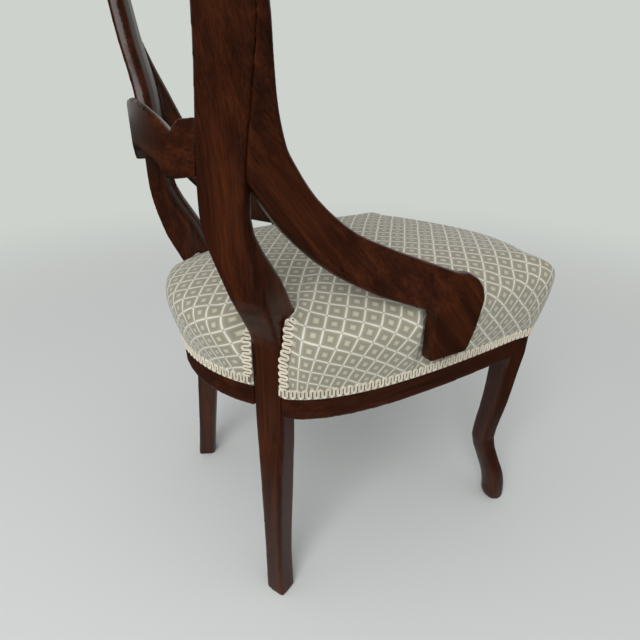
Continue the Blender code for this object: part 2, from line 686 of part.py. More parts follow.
def seat_side_x(y):
    """Outer face of the side rail, as a distance from the middle, at a place along it."""
    for rear, front in zip(side_line, side_line[1:]):
        if front.y <= y <= rear.y:
            share = (rear.y - y) / (rear.y - front.y)
            return -(rear.x + (front.x - rear.x) * share)
    return FRONT_HALF


foot_face = max(seat_side_x(BRACE_HEEL_Y), seat_side_x(BRACE_TOE_Y)) + BRACE_PAD + BRACE_THICK


def board_section(top, under, face_x, side):
    """A ring across the board, from its upper to its lower edge, with rounded edges."""
    top, under = Vector(top), Vector(under)
    across = (under - top).normalized()
    edge = min(BRACE_EDGE, (under - top).length / 3)
    ring = []
    for along, inward in ((edge, 0), (0.3 * edge, 0.3 * edge), (0, edge), (0, BRACE_THICK - edge),
                          (edge, BRACE_THICK)):
        spot = top + across * along
        ring.append(Vector((-face_x + inward, *spot)))
    for along, inward in ((edge, BRACE_THICK), (0, BRACE_THICK - edge / 2), (0, edge / 2), (edge / 2, 0)):
        spot = under - across * along
        ring.append(Vector((-face_x + inward, *spot)))
    return mirrored(ring, side)


def brace_rings(side):
    """Rings down the sweep, then round the nose to the foot."""
    rings = []
    last = len(SWEEP_ROWS) - 1
    for i in range(3 * last + 1):
        key = i / 3
        y, z, x, width = sweep_at(key)
        before, after = sweep_at(max(key - 0.25, 0)), sweep_at(min(key + 0.25, last))
        way = Vector((after[0] - before[0], after[1] - before[1])).normalized()
        across = Vector((way.y, -way.x)) * width / 2
        middle = Vector((y, z))
        rings.append(board_section(middle + across, middle - across, x, side))
    heel = Vector((BRACE_HEEL_Y, NOSE_Z))
    for angle, fall in ((82, 0.0), (105, 0.06), (128, 0.16), (151, 0.32), (175, 0.55), (200, 1.0)):
        swing = math.radians(angle)
        radius = NOSE_RADIUS + NOSE_BROW * max(0.0, 1 - (angle - 82) / 60)
        top = Vector((NOSE_Y + radius * math.cos(swing), NOSE_Z + radius * math.sin(swing)))
        share = min(1.0, (angle - 60) / 85)
        face_x = sweep_at(last)[2] + (foot_face - sweep_at(last)[2]) * (0.80 + 0.20 * share)
        rings.append(board_section(top, heel - Vector((0, fall * NOSE_FALL)), face_x, side))
    for share in (0.5, 1.0):
        nose_end = NOSE_Z + NOSE_RADIUS * math.sin(math.radians(200))
        z = nose_end + (BRACE_FOOT_Z - nose_end) * share
        toe = NOSE_Y + NOSE_RADIUS * math.cos(math.radians(200))
        y = toe + (BRACE_TOE_Y - toe) * share**1.5
        low_heel = NOSE_Z - NOSE_FALL + (BRACE_FOOT_Z - NOSE_Z + NOSE_FALL) * share
        rings.append(board_section((y, z), (BRACE_HEEL_Y, low_heel), foot_face, side))
    return rings


braces = {}
for label, side in SIDES.items():
    braces[label] = loft("hip_brace_" + label, brace_rings(side), WALNUT)
    cut(braces[label], post_lap[label])
    face, inward, outward, sizes = post_frame(cross_middle)
    joint = face - inward * sizes[0] * 0.46 - outward * (sizes[1] - sizes[2] * 0.6)
    spot = mirrored([joint], side)[0]
    dowel("brace_dowel_" + label, spot, (0, -1, 0), 0.030, (posts[label], braces[label]))

# Corner blocks, glued and screwed across the four corners of the frame
blocks = {}


def along_line(line, distance):
    """The point a distance along an open line in plan, and the direction there."""
    for a, b in zip(line, line[1:]):
        step = (b - a).length
        if distance <= step:
            way = (b - a).normalized()
            return a + way * distance, way
        distance -= step
    return line[-1].copy(), (line[-1] - line[-2]).normalized()


side_inner = [p.copy() for p in side_outline[:len(side_line) - 1:-1]]
rear_inner = [p.copy() for p in rear_outline[len(rear_line):]]
front_inner = [p.copy() for p in front_outline[:len(front_line) - 1:-1]]
corner_lines = {"rear": (rear_inner, side_inner), "front": (side_inner[::-1], front_inner)}
for corner, (first, second) in corner_lines.items():
    outline = []
    marks = []
    for line, order in ((first, (BLOCK_LEG, BLOCK_LEG / 2, BLOCK_CLEAR)),
                        (second, (BLOCK_CLEAR, BLOCK_LEG / 2, BLOCK_LEG))):
        for distance in order:
            spot, way = along_line(line, distance)
            normal = Vector((-way.y, way.x))
            if normal.dot(Vector((0, -0.02)) - spot) < 0:
                normal = -normal
            outline.append(spot + normal * (GAP + 0.0004))
        spot, way = along_line(line, BLOCK_LEG * 0.55)
        normal = Vector((-way.y, way.x))
        if normal.dot(Vector((0, -0.02)) - spot) < 0:
            normal = -normal
        marks.append((spot, normal))
    for label, side in SIDES.items():
        name = corner + "_block_" + label
        corners = [point[:2] for point in mirrored(outline, side)]
        block = plate(name, corners, BLOCK_Z, BLOCK_Z + BLOCK_HEIGHT, INNER_WOOD)
        cut(block, post_notch[label] if corner == "rear" else leg_clear[label])
        for number, (spot, normal) in enumerate(marks):
            rail = rails[corner] if (corner == "rear") == (number == 0) else rails[label]
            head = spot + normal * 0.019
            head, way = mirrored([Vector((*head, BLOCK_Z + BLOCK_HEIGHT * (0.35 + 0.3 * number))),
                                  Vector((*-normal, 0))], side)
            screw(f"{corner}_block_screw_{label}_{number + 1}", head, way, SCREW_LENGTH, (block, rail))

# Seat: webbing, springs, hessian, stuffing, cover and braid
outer_corner = front_corner.to_2d()


def seat_half():
    """The right half of the seat's outline, from the middle of the front to the middle of the back."""
    points = [p.copy() for p in front_line[len(front_line) // 2::-1]]
    for angle in (-90, -135, -180):
        swing = math.radians(angle)
        points.append(outer_corner + Vector((CORNER_ROUND, CORNER_ROUND))
                      + Vector((math.cos(swing), math.sin(swing))) * CORNER_ROUND)
    points += [p.copy() for p in side_line[::-1]]
    points += [p.copy() for p in rear_line[:len(rear_line) // 2 - 1:-1]]
    return points


half = seat_half()
loop = half + [Vector((-p.x, p.y)) for p in half[-2:0:-1]]


def seat_loop(distance, share=1.0):
    """The seat's outline, let out by a distance and then drawn in towards the middle."""
    points = []
    middle = Vector((0, SEAT_MIDDLE_Y))
    for i, point in enumerate(loop):
        tangent = loop[(i + 1) % len(loop)] - loop[i - 1]
        normal = Vector((-tangent.y, tangent.x)).normalized()
        if normal.dot(point - middle) < 0:
            normal = -normal
        points.append(middle + (point + normal * distance - middle) * share)
    return points


def side_share(point):
    """How much a point of the outline belongs to the sides, 0 to 1."""
    if abs(point.x) < 0.6 * FRONT_HALF:
        return 0.0
    return max(0.0, 1.0 - (point.y / POST_Y)**2)


def press(point):
    """How much the foot of a hip brace presses the side in here, 0 to 1."""
    if abs(point.x) < 0.75 * FRONT_HALF:
        return 0.0
    middle = (BRACE_HEEL_Y + BRACE_TOE_Y) / 2
    away = max(0.0, abs(point.y - middle) - PRESS_HALF) / PRESS_FADE
    return math.exp(-away * away)


def tuck(point):
    """How full the swell is here, 0 to 1: the cover is drawn in beside the posts."""
    spot = Vector((-abs(point.x), point.y))
    away = min((spot - post_rear_edge).length, (spot - post_side_edge).length)
    share = min(away / TUCK_LENGTH, 1.0)
    return share * share * (3 - 2 * share)


wall = RAIL_TOP - BRAID_Z
SEAT_RINGS = [
    # share of the swell, share drawn in, height, share of the drop at the sides
    (0.00, 1.000, BRAID_Z, 0.0),
    (0.00, 1.000, BRAID_Z + BRAID_HEIGHT, 0.0),
    (0.60, 1.000, BRAID_Z + 0.70 * wall, 0.3),
    (0.95, 1.000, RAIL_TOP + 0.26 * SHOULDER_RISE, 0.7),
    (0.90, 1.000, RAIL_TOP + 0.70 * SHOULDER_RISE, 0.9),
    (0.30, 1.000, RAIL_TOP + 0.98 * SHOULDER_RISE, 1.0),
    (0.00, 0.940, SEAT_SHOULDER + 0.22 * CROWN_RISE, 0.9),
    (0.00, 0.780, SEAT_SHOULDER + 0.45 * CROWN_RISE, 0.5),
    (0.00, 0.500, SEAT_SHOULDER + 0.78 * CROWN_RISE, 0.1),
    (0.00, 0.220, SEAT_CROWN, 0.0),
]


def seat_grid(inset):
    """Rings of the seat's skin, sunk below the outside of the cover, and more so beside the posts."""
    grid = []
    for swell, share, height, drop in SEAT_RINGS:
        ring = []
        plain = seat_loop(0.0)
        full = seat_loop(COVER_THICK + GAP + swell * SEAT_SWELL, share)
        drawn_in = seat_loop(COVER_THICK + GAP + min(swell * SEAT_SWELL, 0.001), share)
        for base, out, flat in zip(plain, full, drawn_in):
            spot = flat.lerp(out, tuck(base) * (1 - press(base)))
            fall = REAR_DROP * min(max(base.y, 0.0) / POST_Y, 1.0)**2 + SIDE_DROP * side_share(base)
            ring.append(Vector((spot.x, spot.y, height - drop * fall)))
        grid.append(ring)
    if not inset:
        return grid
    sunk = []
    for r, ring in enumerate(grid):
        row = []
        for i, point in enumerate(ring):
            around = ring[(i + 1) % len(ring)] - ring[i - 1]
            up = grid[min(r + 1, len(grid) - 1)][i] - grid[max(r - 1, 0)][i]
            normal = around.cross(up).normalized()
            if normal.dot(point - Vector((0, 0, RAIL_BOTTOM))) < 0:
                normal = -normal
            row.append(point - normal * inset * (3 - 2 * tuck(loop[i])))
        sunk.append(row)
    return sunk


def skin(name, grid, floor, finish):
    """A domed skin over a grid of rings; with a floor it becomes a closed solid."""
    shape = bmesh.new()
    loops = [[shape.verts.new(point) for point in ring] for ring in grid]
    count = len(loops[0])
    for low, high in zip(loops, loops[1:]):
        for i in range(count):
            j = (i + 1) % count
            shape.faces.new((low[i], low[j], high[j], high[i]))
    crown = shape.verts.new(sum(grid[-1], Vector()) / count + Vector((0, 0, CROWN_TIP)))
    for i in range(count):
        shape.faces.new((loops[-1][i], loops[-1][(i + 1) % count], crown))
    if floor:
        shape.faces.new(reversed(loops[0]))
    return place(name, mesh_from(name, shape, 60), finish)


cover = skin("seat_cover", seat_grid(0.0), False, FABRIC)
thickness = cover.modifiers.new("cloth", "SOLIDIFY")
thickness.thickness = COVER_THICK
thickness.offset = -1.0
stuffing_bottom = RAIL_TOP + HESSIAN_THICK + 2 * GAP
stuffing_grid = [ring for ring in seat_grid(COVER_THICK + STUFFING_FIT)
                 if ring[0].z > stuffing_bottom + STUFFING_STEP]
base_ring = [Vector((p.x, p.y, stuffing_bottom)) for p in seat_grid(COVER_THICK + 2 * STUFFING_FIT)[2]]
stuffing = skin("seat_stuffing", [base_ring] + stuffing_grid, True, HAIR)
hessian = plate("spring_hessian", seat_loop(-0.003), RAIL_TOP + GAP, RAIL_TOP + GAP + HESSIAN_THICK, JUTE)
for label in SIDES:
    for piece in (cover, stuffing, hessian):
        cut(piece, post_notch[label])


def braid(name, places):
    """A flat braid along the foot of the cover, over these places of the outline."""
    near = GAP + COVER_THICK + GAP
    inner = seat_loop(near)
    outer = seat_loop(near + BRAID_THICK)
    outline = [inner[i] for i in places] + [outer[i] for i in reversed(places)]
    return plate(name, outline, BRAID_Z, BRAID_Z + BRAID_HEIGHT - 0.001, CREAM)


side_end = half.index(side_line[0])
braid("braid_front", [i % len(loop) for i in range(-side_end, side_end + 1)])
braid("braid_rear", list(range(side_end + 1, len(loop) - side_end)))

# Webbing under the rails, with a cloth lining below it
web_top = RAIL_BOTTOM - GAP


def strap(name, start, end, top):
    """A straight strap of webbing between two points in plan."""
    way = (Vector(end) - Vector(start)).normalized()
    aside = Vector((-way.y, way.x)) * WEB_WIDTH / 2
    corners = [Vector(start) + aside, Vector(start) - aside, Vector(end) - aside, Vector(end) + aside]
    return plate(name, corners, top - WEB_THICK, top, JUTE)


for i, x in enumerate((-SPRING_X, 0.0, SPRING_X)):
    back = min((p for p in rear_line), key=lambda p: abs(p.x - x))
    front = min((p for p in front_line), key=lambda p: abs(p.x - x))
    strap(f"webbing_long_{i + 1}", (x, front.y + 0.008), (x, back.y - 0.014), web_top)
for i, y in enumerate((SPRING_FRONT_Y, (SPRING_FRONT_Y + SPRING_REAR_Y) / 2, SPRING_REAR_Y)):
    reach = seat_side_x(y) - 0.008
    strap(f"webbing_cross_{i + 1}", (-reach, y), (reach, y), web_top - WEB_THICK - GAP)
lining_top = web_top - 2 * WEB_THICK - 2 * GAP
lining = plate("dust_lining", seat_loop(-0.004), lining_top - LINING_THICK, lining_top, BLACK_CLOTH)
for label in SIDES:
    cut(lining, post_notch[label])
    cut(lining, leg_clear[label])


def spring(name, x, y):
    """An hourglass coil spring of one wire, from the webbing up to the hessian."""
    low = RAIL_BOTTOM + SPRING_WIRE / 2
    high = RAIL_TOP - SPRING_WIRE / 2
    steps = SPRING_TURNS * 10
    curve = bpy.data.curves.new(name, "CURVE")
    curve.dimensions = "3D"
    curve.bevel_depth = SPRING_WIRE / 2
    curve.bevel_resolution = 1
    curve.use_fill_caps = True
    spline = curve.splines.new("POLY")
    spline.points.add(steps)
    for i, point in enumerate(spline.points):
        share = i / steps
        angle = math.tau * SPRING_TURNS * share
        radius = SPRING_WAIST + (SPRING_RADIUS - SPRING_WAIST) * (2 * share - 1)**2
        height = low + (high - low) * share
        point.co = (x + radius * math.cos(angle), y + radius * math.sin(angle), height, 1.0)
    return solid_from_curve(name, curve, Matrix.Identity(4), STEEL, 1.0)


for row, y in (("front", SPRING_FRONT_Y), ("rear", SPRING_REAR_Y)):
    for label, side in SIDES.items():
        spring(f"seat_spring_{row}_{label}", SPRING_X * side, y)

turn_gap = (RAIL_HEIGHT - SPRING_WIRE) / SPRING_TURNS - SPRING_WIRE
print("least gap between the turns of a spring:", round(turn_gap * 1000, 2), "mm")

# Screws through the side rails into the feet of the hip braces
for label, side in SIDES.items():
    y = (BRACE_HEEL_Y + BRACE_TOE_Y) / 2
    inner_x = -seat_side_x(y) + RAIL_THICK
    head = mirrored([Vector((inner_x, y, (BRACE_FOOT_Z + RAIL_TOP) / 2))], side)[0]
    screw("brace_screw_" + label, head, (side, 0, 0), SCREW_LENGTH + 0.006,
          (rails[label], cover, braces[label]))

# Set the chair down with the middle of its box over the origin
bpy.context.view_layer.update()
depsgraph = bpy.context.evaluated_depsgraph_get()
corners = []
for piece in chair.objects:
    box = piece.evaluated_get(depsgraph).bound_box
    corners += [(piece.matrix_world @ Vector(corner)).y for corner in box]
shift = Matrix.Translation((0, -(min(corners) + max(corners)) / 2, 0))
for piece in list(chair.objects) + list(cutters.objects):
    piece.matrix_world = shift @ piece.matrix_world
print("moved along y by", round(shift.translation.y * 1000, 2), "mm")
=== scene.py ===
# %% [markdown]
# # A balloon back chair with hip braces
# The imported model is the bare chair: posts, rails, legs, braces and the solids of the seat.
# This lesson dresses it. The wood keeps its shape and gets a polished finish, and the soft pieces
# of the seat are made again as upholstery: a padded cover, a looped braid and the cloth underneath.

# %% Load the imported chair
import json
import math

import bmesh
import bpy
import numpy as np
from mathutils import Matrix, Vector
from mathutils.bvhtree import BVHTree

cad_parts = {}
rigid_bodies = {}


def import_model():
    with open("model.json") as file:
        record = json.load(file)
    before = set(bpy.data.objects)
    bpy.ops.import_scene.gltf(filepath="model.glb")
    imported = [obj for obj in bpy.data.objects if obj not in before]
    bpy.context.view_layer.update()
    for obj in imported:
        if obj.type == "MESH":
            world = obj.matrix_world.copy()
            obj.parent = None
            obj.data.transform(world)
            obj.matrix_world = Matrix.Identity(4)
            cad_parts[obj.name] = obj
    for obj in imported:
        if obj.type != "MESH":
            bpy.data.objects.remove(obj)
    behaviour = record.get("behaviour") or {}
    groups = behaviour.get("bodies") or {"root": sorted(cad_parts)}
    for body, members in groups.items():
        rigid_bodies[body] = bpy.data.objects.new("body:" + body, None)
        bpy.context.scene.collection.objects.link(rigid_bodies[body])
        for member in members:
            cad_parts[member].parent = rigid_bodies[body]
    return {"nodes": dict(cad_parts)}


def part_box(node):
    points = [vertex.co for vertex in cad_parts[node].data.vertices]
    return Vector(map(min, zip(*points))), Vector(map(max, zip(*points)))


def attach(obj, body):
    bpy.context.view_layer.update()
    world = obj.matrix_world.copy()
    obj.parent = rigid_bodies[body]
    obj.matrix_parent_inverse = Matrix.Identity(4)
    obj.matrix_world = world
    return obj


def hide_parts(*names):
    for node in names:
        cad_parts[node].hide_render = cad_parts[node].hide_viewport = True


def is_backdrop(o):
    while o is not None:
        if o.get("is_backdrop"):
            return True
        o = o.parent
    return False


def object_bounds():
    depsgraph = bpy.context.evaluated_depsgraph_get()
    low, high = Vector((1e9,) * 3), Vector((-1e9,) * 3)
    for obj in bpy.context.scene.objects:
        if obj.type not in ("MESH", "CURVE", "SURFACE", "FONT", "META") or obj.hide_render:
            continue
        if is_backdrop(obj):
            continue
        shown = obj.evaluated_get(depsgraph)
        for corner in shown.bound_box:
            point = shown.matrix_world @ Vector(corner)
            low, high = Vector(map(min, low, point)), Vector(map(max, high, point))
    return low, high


for thing in list(bpy.data.objects):
    bpy.data.objects.remove(thing)

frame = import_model()
nodes = frame["nodes"]
cad_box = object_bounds()
MM = 0.001
print("nodes:", len(nodes), "box:", [[round(c, 3) for c in corner] for corner in cad_box])

# %% [markdown]
# The photograph was taken close to the chair, from behind its right-hand side and from above, with a
# wide lens. A close, wide camera makes the near stile large and the far leg small, so the camera
# has to stand at the same distance as well as at the same angle.

# %% Camera
CAMERA_SPOT = (-0.6246, 0.3807, 0.6838)
CAMERA_YAW = 240.02
CAMERA_DOWN = 26.235
CAMERA_ROLL = 0.715
FRAME_PIXELS = 640
FOCAL_PIXELS = 497.6
SENSOR_MM = 36.0

camera_data = bpy.data.cameras.new("camera")
camera_data.sensor_width = SENSOR_MM
camera_data.lens = FOCAL_PIXELS / FRAME_PIXELS * SENSOR_MM
camera = bpy.data.objects.new("camera", camera_data)
yaw, down, roll = (math.radians(a) for a in (CAMERA_YAW, CAMERA_DOWN, CAMERA_ROLL))
back = Vector((math.sin(yaw) * math.cos(down), -math.cos(yaw) * math.cos(down), math.sin(down)))
level_right = (-back).cross(Vector((0, 0, 1))).normalized()
level_up = level_right.cross(-back)
right = level_right * math.cos(roll) + level_up * math.sin(roll)
up = level_up * math.cos(roll) - level_right * math.sin(roll)
camera.matrix_world = Matrix.Translation(CAMERA_SPOT) @ Matrix((right, up, back)).transposed().to_4x4()
bpy.context.scene.collection.objects.link(camera)
bpy.context.scene.camera = camera
print("lens:", round(camera_data.lens, 2), "mm")

# %% [markdown]
# Every finish below is a small tree of nodes. Three helpers keep them short: one turns an sRGB hex
# colour, as read off a screen, into the linear colour that the shader works with, one adds a node
# with its settings, its values and its links, and one starts an empty finish.

# %% Helpers for finishes
def linear(hex_colour):
    """A linear colour with alpha from an sRGB hex value such as #a09c8b."""
    shares = [int(hex_colour[i:i + 2], 16) / 255 for i in (1, 3, 5)]
    return tuple(s / 12.92 if s <= 0.04045 else ((s + 0.055) / 1.055)**2.4 for s in shares) + (1.0,)


def add(tree, kind, sockets=None, stops=None, **settings):
    """A new node: settings are its properties, sockets its values or links, stops its colour ramp."""
    node = tree.nodes.new(kind)
    for name, value in settings.items():
        setattr(node, name, value)
    for name, value in (sockets or {}).items():
        if isinstance(value, bpy.types.NodeSocket):
            tree.links.new(value, node.inputs[name])
        else:
            node.inputs[name].default_value = value
    for i, (place, colour) in enumerate(stops or ()):
        ramp = node.color_ramp.elements
        step = ramp[i] if i < 2 else ramp.new(place)
        step.position = place
        step.color = linear(colour) if isinstance(colour, str) else (colour, colour, colour, 1.0)
    return node


def finish_of(name, **values):
    """An empty finish: its material, its tree and its shader, with the values that are the same all over."""
    material = bpy.data.materials.new(name)
    material.use_nodes = True
    shader = material.node_tree.nodes["Principled BSDF"]
    for socket, value in values.items():
        shader.inputs[socket.replace("_", " ")].default_value = value
    return material, material.node_tree, shader


print("middle grey on a screen is", round(linear("#808080")[0], 3), "in the shader")

# %% [markdown]
# ## Walnut, french-polished
# The show wood is walnut, sawn and scraped, then french-polished with shellac. To the eye that is a
# dark red-brown with long soft bands along the grain, fine streaks, short dark pores, and a thin
# clear coat whose shine turns grey where the wood is seen at a low angle.
# A photograph of wood would show one board again and again. Here noise is stretched along the grain,
# in a frame that is turned for each piece, so every board is different.

# %% Grain of a board
BAND_MM, BAND_LONG = 14.0, 26.0  # width of a mark, and how many times as long it is
STREAK_MM, STREAK_LONG = 2.2, 34.0
PORE_MM, PORE_LONG = 1.1, 11.0  # real pores are a quarter as wide; drawn coarser so that they show
STREAK_SHARE, PORE_DARK = 0.45, 0.6
SMOOTHEST, ROUGHEST = 0.34, 0.52
RELIEF = 0.4 * MM  # depth of a grain or a weave where its bump is full


def stretched_noise(tree, along, wide_mm, long_share, detail, seed):
    """Noise whose spots are so many millimetres wide, and so many times as long along the grain."""
    scale = 1 / (wide_mm * MM)
    spot = add(tree, "ShaderNodeMapping", {"Vector": along, "Location": (seed, seed * 0.7, seed * 1.3),
                                           "Scale": (scale, scale, scale / long_share)})
    return add(tree, "ShaderNodeTexNoise", {"Vector": spot.outputs[0], "Scale": 1.0, "Detail": detail,
                                            "Roughness": 0.55}).outputs[0]


def polished_wood(name, grain, seed, dark, middle, light, coat):
    """A board with its grain along a direction of the chair, under a clear coat."""
    material, tree, shader = finish_of(name, IOR=1.5, Specular_IOR_Level=0.15, Coat_Weight=coat,
                                       Coat_Roughness=0.22, Coat_IOR=1.5)
    turn = Vector(grain).rotation_difference(Vector((0, 0, 1))).to_euler()
    place = add(tree, "ShaderNodeTexCoord").outputs["Object"]
    along = add(tree, "ShaderNodeMapping", {"Vector": place, "Rotation": turn}).outputs[0]
    bands = stretched_noise(tree, along, BAND_MM, BAND_LONG, 3.0, seed)
    streaks = stretched_noise(tree, along, STREAK_MM, STREAK_LONG, 4.0, seed + 3)
    pores = stretched_noise(tree, along, PORE_MM, PORE_LONG, 2.0, seed + 7)
    figure = add(tree, "ShaderNodeMix", {0: STREAK_SHARE, 2: bands, 3: streaks}).outputs[0]
    colour = add(tree, "ShaderNodeValToRGB", {0: figure},
                 [(0.30, dark), (0.70, light), (0.50, middle)]).outputs[0]
    pore_mask = add(tree, "ShaderNodeValToRGB", {0: pores}, [(0.27, 1.0), (0.36, 0.0)]).outputs[0]
    in_pores = add(tree, "ShaderNodeMath", {0: pore_mask, 1: PORE_DARK}, operation="MULTIPLY").outputs[0]
    colour = add(tree, "ShaderNodeMix", {0: in_pores, 6: colour, 7: linear(dark)}, data_type="RGBA")
    tree.links.new(colour.outputs[2], shader.inputs["Base Color"])
    shine = add(tree, "ShaderNodeMapRange", {0: streaks, 3: SMOOTHEST, 4: ROUGHEST}).outputs[0]
    tree.links.new(shine, shader.inputs["Roughness"])
    height = add(tree, "ShaderNodeMath", {0: streaks, 1: pore_mask}, operation="SUBTRACT").outputs[0]
    bump = add(tree, "ShaderNodeBump", {"Strength": 0.10, "Distance": RELIEF, "Height": height})
    tree.links.new(bump.outputs[0], shader.inputs["Normal"])
    return material


print("grain: bands", BAND_MM, "mm, streaks", STREAK_MM, "mm and pores", PORE_MM, "mm wide")

# %% [markdown]
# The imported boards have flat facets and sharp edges. A scraped and handled board has neither, so each
# one is cut into small squares and worn a little, by modifiers that leave its own points alone.

# %% Dress the boards
WALNUT = ("#190600", "#331303", "#4b2106")  # dark, middle and light
SHELLAC = 0.4  # weight of the clear coat
SEED_STEP = 2.3  # from one board's noise to the next one's
GRAINS = {
    "rear_post_right": (0, 0, 1), "rear_post_left": (0, 0, 1),
    "front_leg_right": (0, 0, 1), "front_leg_left": (0, 0, 1),
    "rear_rail": (1, 0, 0), "front_rail": (1, 0, 0), "back_crosspiece": (1, 0, 0), "crest_rail": (1, 0, 0),
    "side_rail_right": (0, 1, 0), "side_rail_left": (0, 1, 0),
    "hip_brace_right": (0, 0.62, 0.78), "hip_brace_left": (0, 0.62, 0.78),
}
WELD = 0.02 * MM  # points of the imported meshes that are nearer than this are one
SMOOTH_TO = math.radians(38)
SCRAPED_MM = 2.0  # size of the small squares that a scraped board is made of
SCRAPES = 7


def dress(node, material, scraped=False):
    """Gives a node of the frame its finish. A scraped one has its facets and edges worn soft."""
    piece = nodes[node]
    piece.data.materials.clear()
    piece.data.materials.append(material)
    for name in ("custom_normal", "sharp_edge", "sharp_face"):
        if name in piece.data.attributes:
            piece.data.attributes.remove(piece.data.attributes[name])
    weld = piece.modifiers.new("weld", "WELD")
    weld.merge_threshold = WELD
    if scraped:
        grid = piece.modifiers.new("grid", "REMESH")
        grid.mode = "VOXEL"
        grid.voxel_size = SCRAPED_MM * MM
        grid.use_smooth_shade = True
        worn = piece.modifiers.new("worn", "SMOOTH")
        worn.factor = 0.5
        worn.iterations = SCRAPES
    else:
        split = piece.modifiers.new("edges", "EDGE_SPLIT")
        split.split_angle = SMOOTH_TO


for i, (node, grain) in enumerate(GRAINS.items()):
    dress(node, polished_wood("walnut_" + node, grain, SEED_STEP * i, *WALNUT, SHELLAC), scraped=True)
print("walnut boards:", len(GRAINS))

# %% [markdown]
# ## Inside the frame
# The corner blocks and dowels are plain beech, and the screws and springs are steel. They are covered
# up on the finished chair, but they get their own finish too, because a scene may open the seat.
# Sawn beech is pale and matt. Drawn steel has a dull grey shine, broken by fine scratches.

# %% Beech and steel
BEECH, BEECH_SEED = ("#a5825a", "#bd9a6e", "#ccac82"), 40.0
SCRATCH_MM = 2.0  # real scratches are finer; drawn coarser so that they show
beech = polished_wood("beech_sawn", (1, 0, 0), BEECH_SEED, *BEECH, coat=0.0)
steel, tree, shader = finish_of("steel_drawn", Metallic=1.0, Base_Color=linear("#9a9a98"))
scratches = add(tree, "ShaderNodeTexNoise", {"Scale": 1 / (SCRATCH_MM * MM), "Detail": 4.0}).outputs[0]
dull = add(tree, "ShaderNodeMapRange", {0: scratches, 3: 0.28, 4: 0.5}).outputs[0]
tree.links.new(dull, shader.inputs["Roughness"])
of_steel = [node for node in nodes if "_screw_" in node or "seat_spring" in node]
of_beech = [node for node in nodes if ("_dowel_" in node or "_block_" in node) and node not in of_steel]
for node in of_steel + of_beech:
    dress(node, steel if node in of_steel else beech)
print("steel pieces:", len(of_steel), "beech pieces:", len(of_beech))

# %% [markdown]
# ## The sprung seat
# The seat is stuffed over springs and covered with one piece of cloth, tacked to the rails under the
# braid and cut in round the posts. A block with rounded edges would look hard, so the cover is made
# as a net of small squares: a domed top and a wall that swells out over the rails. The net follows
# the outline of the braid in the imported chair, so the cover stays where the frame carries it.

# %% Outline of the seat, in plan
MIDDLE_Y = -11.5 * MM
COLUMNS_ACROSS, COLUMNS_DEEP = 60, 74
REAR_LEFT, REAR_RIGHT = COLUMNS_ACROSS + COLUMNS_DEEP, 2 * COLUMNS_ACROSS + COLUMNS_DEEP
POST_MIDDLE = (151.5 * MM, 184 * MM)
FRONT_CORNER = (199.5 * MM, -241 * MM)
LEVEL = 0.1 * MM  # points this near the lowest one lie on the lower edge


def angle_of(spot):
    return math.atan2(spot[1] - MIDDLE_Y, spot[0])


def inner_edge(node):
    """The lower inner edge of a braid of the frame, in plan, in order round the seat."""
    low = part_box(node)[0].z
    spots = {(round(v.co.x, 5), round(v.co.y, 5)) for v in nodes[node].data.vertices
             if v.co.z < low + LEVEL}
    turn = sorted(spots, key=angle_of)
    return [min(pair, key=lambda p: math.hypot(p[0], p[1] - MIDDLE_Y))
            for pair in zip(turn[::2], turn[1::2])]


def rounded(points, closed, steps=10):
    """A smooth line through points, with several short steps between each pair."""
    p = np.array(points, float)
    nxt = np.roll(p, -1, 0)
    step = np.linalg.norm(nxt - p, axis=1)[:, None]
    slope = (nxt - p) / step
    tangent = (np.roll(step, 1, 0) * slope + step * np.roll(slope, 1, 0)) / (step + np.roll(step, 1, 0))
    if not closed:
        tangent[0], tangent[-1] = slope[0], slope[-2]
    line = []
    for i in range(len(p) if closed else len(p) - 1):
        j = (i + 1) % len(p)
        for t in np.arange(steps) / steps:
            line.append(p[i] * (2 * t**3 - 3 * t**2 + 1) + p[j] * (3 * t**2 - 2 * t**3)
                        + step[i] * (tangent[i] * (t**3 - 2 * t**2 + t) + tangent[j] * (t**3 - t**2)))
    if not closed:
        line.append(p[-1])
    return np.array(line)


def unit(rows):
    return rows / np.linalg.norm(rows, axis=1)[:, None]


def measure(line):
    """How far each point of a line lies from its start, along the line."""
    return np.concatenate([[0], np.cumsum(np.linalg.norm(np.diff(line, axis=0), axis=1))])


def along_line(line, run, places):
    """What a line holds at some places along it, where run is its measure."""
    return np.stack([np.interp(places, run, column) for column in line.T], 1)


def even(line, count):
    """So many equal steps along an open line."""
    run = measure(line)
    return along_line(line, run, np.linspace(0, run[-1], count + 1))


outline = rounded(sorted(inner_edge("braid_front") + inner_edge("braid_rear"), key=angle_of), True)
corners = [(-FRONT_CORNER[0], FRONT_CORNER[1]), FRONT_CORNER, POST_MIDDLE, (-POST_MIDDLE[0], POST_MIDDLE[1])]
marks = [int(np.argmin(np.linalg.norm(outline - c, axis=1))) for c in corners]
edge = []
for start, end, count in zip(marks, marks[1:] + marks[:1], (COLUMNS_ACROSS, COLUMNS_DEEP) * 2):
    stretch = np.roll(outline, -start, 0)[:(end - start) % len(outline) + 1]
    edge.append(even(stretch, count)[:-1])
columns = np.vstack(edge)
total = len(columns)
onward = np.roll(columns, -1, 0) - np.roll(columns, 1, 0)
outward = unit(np.stack([onward[:, 1], -onward[:, 0]], 1))
print("columns round the seat:", total)

# %% [markdown]
# The wall is one profile, carried round the outline: straight behind the braid, swelling over the
# rail, then rolling in to the top. Two things flatten it: the cover is drawn in beside each
# rear post, and the foot of each hip brace presses on the side. First comes what each column feels.

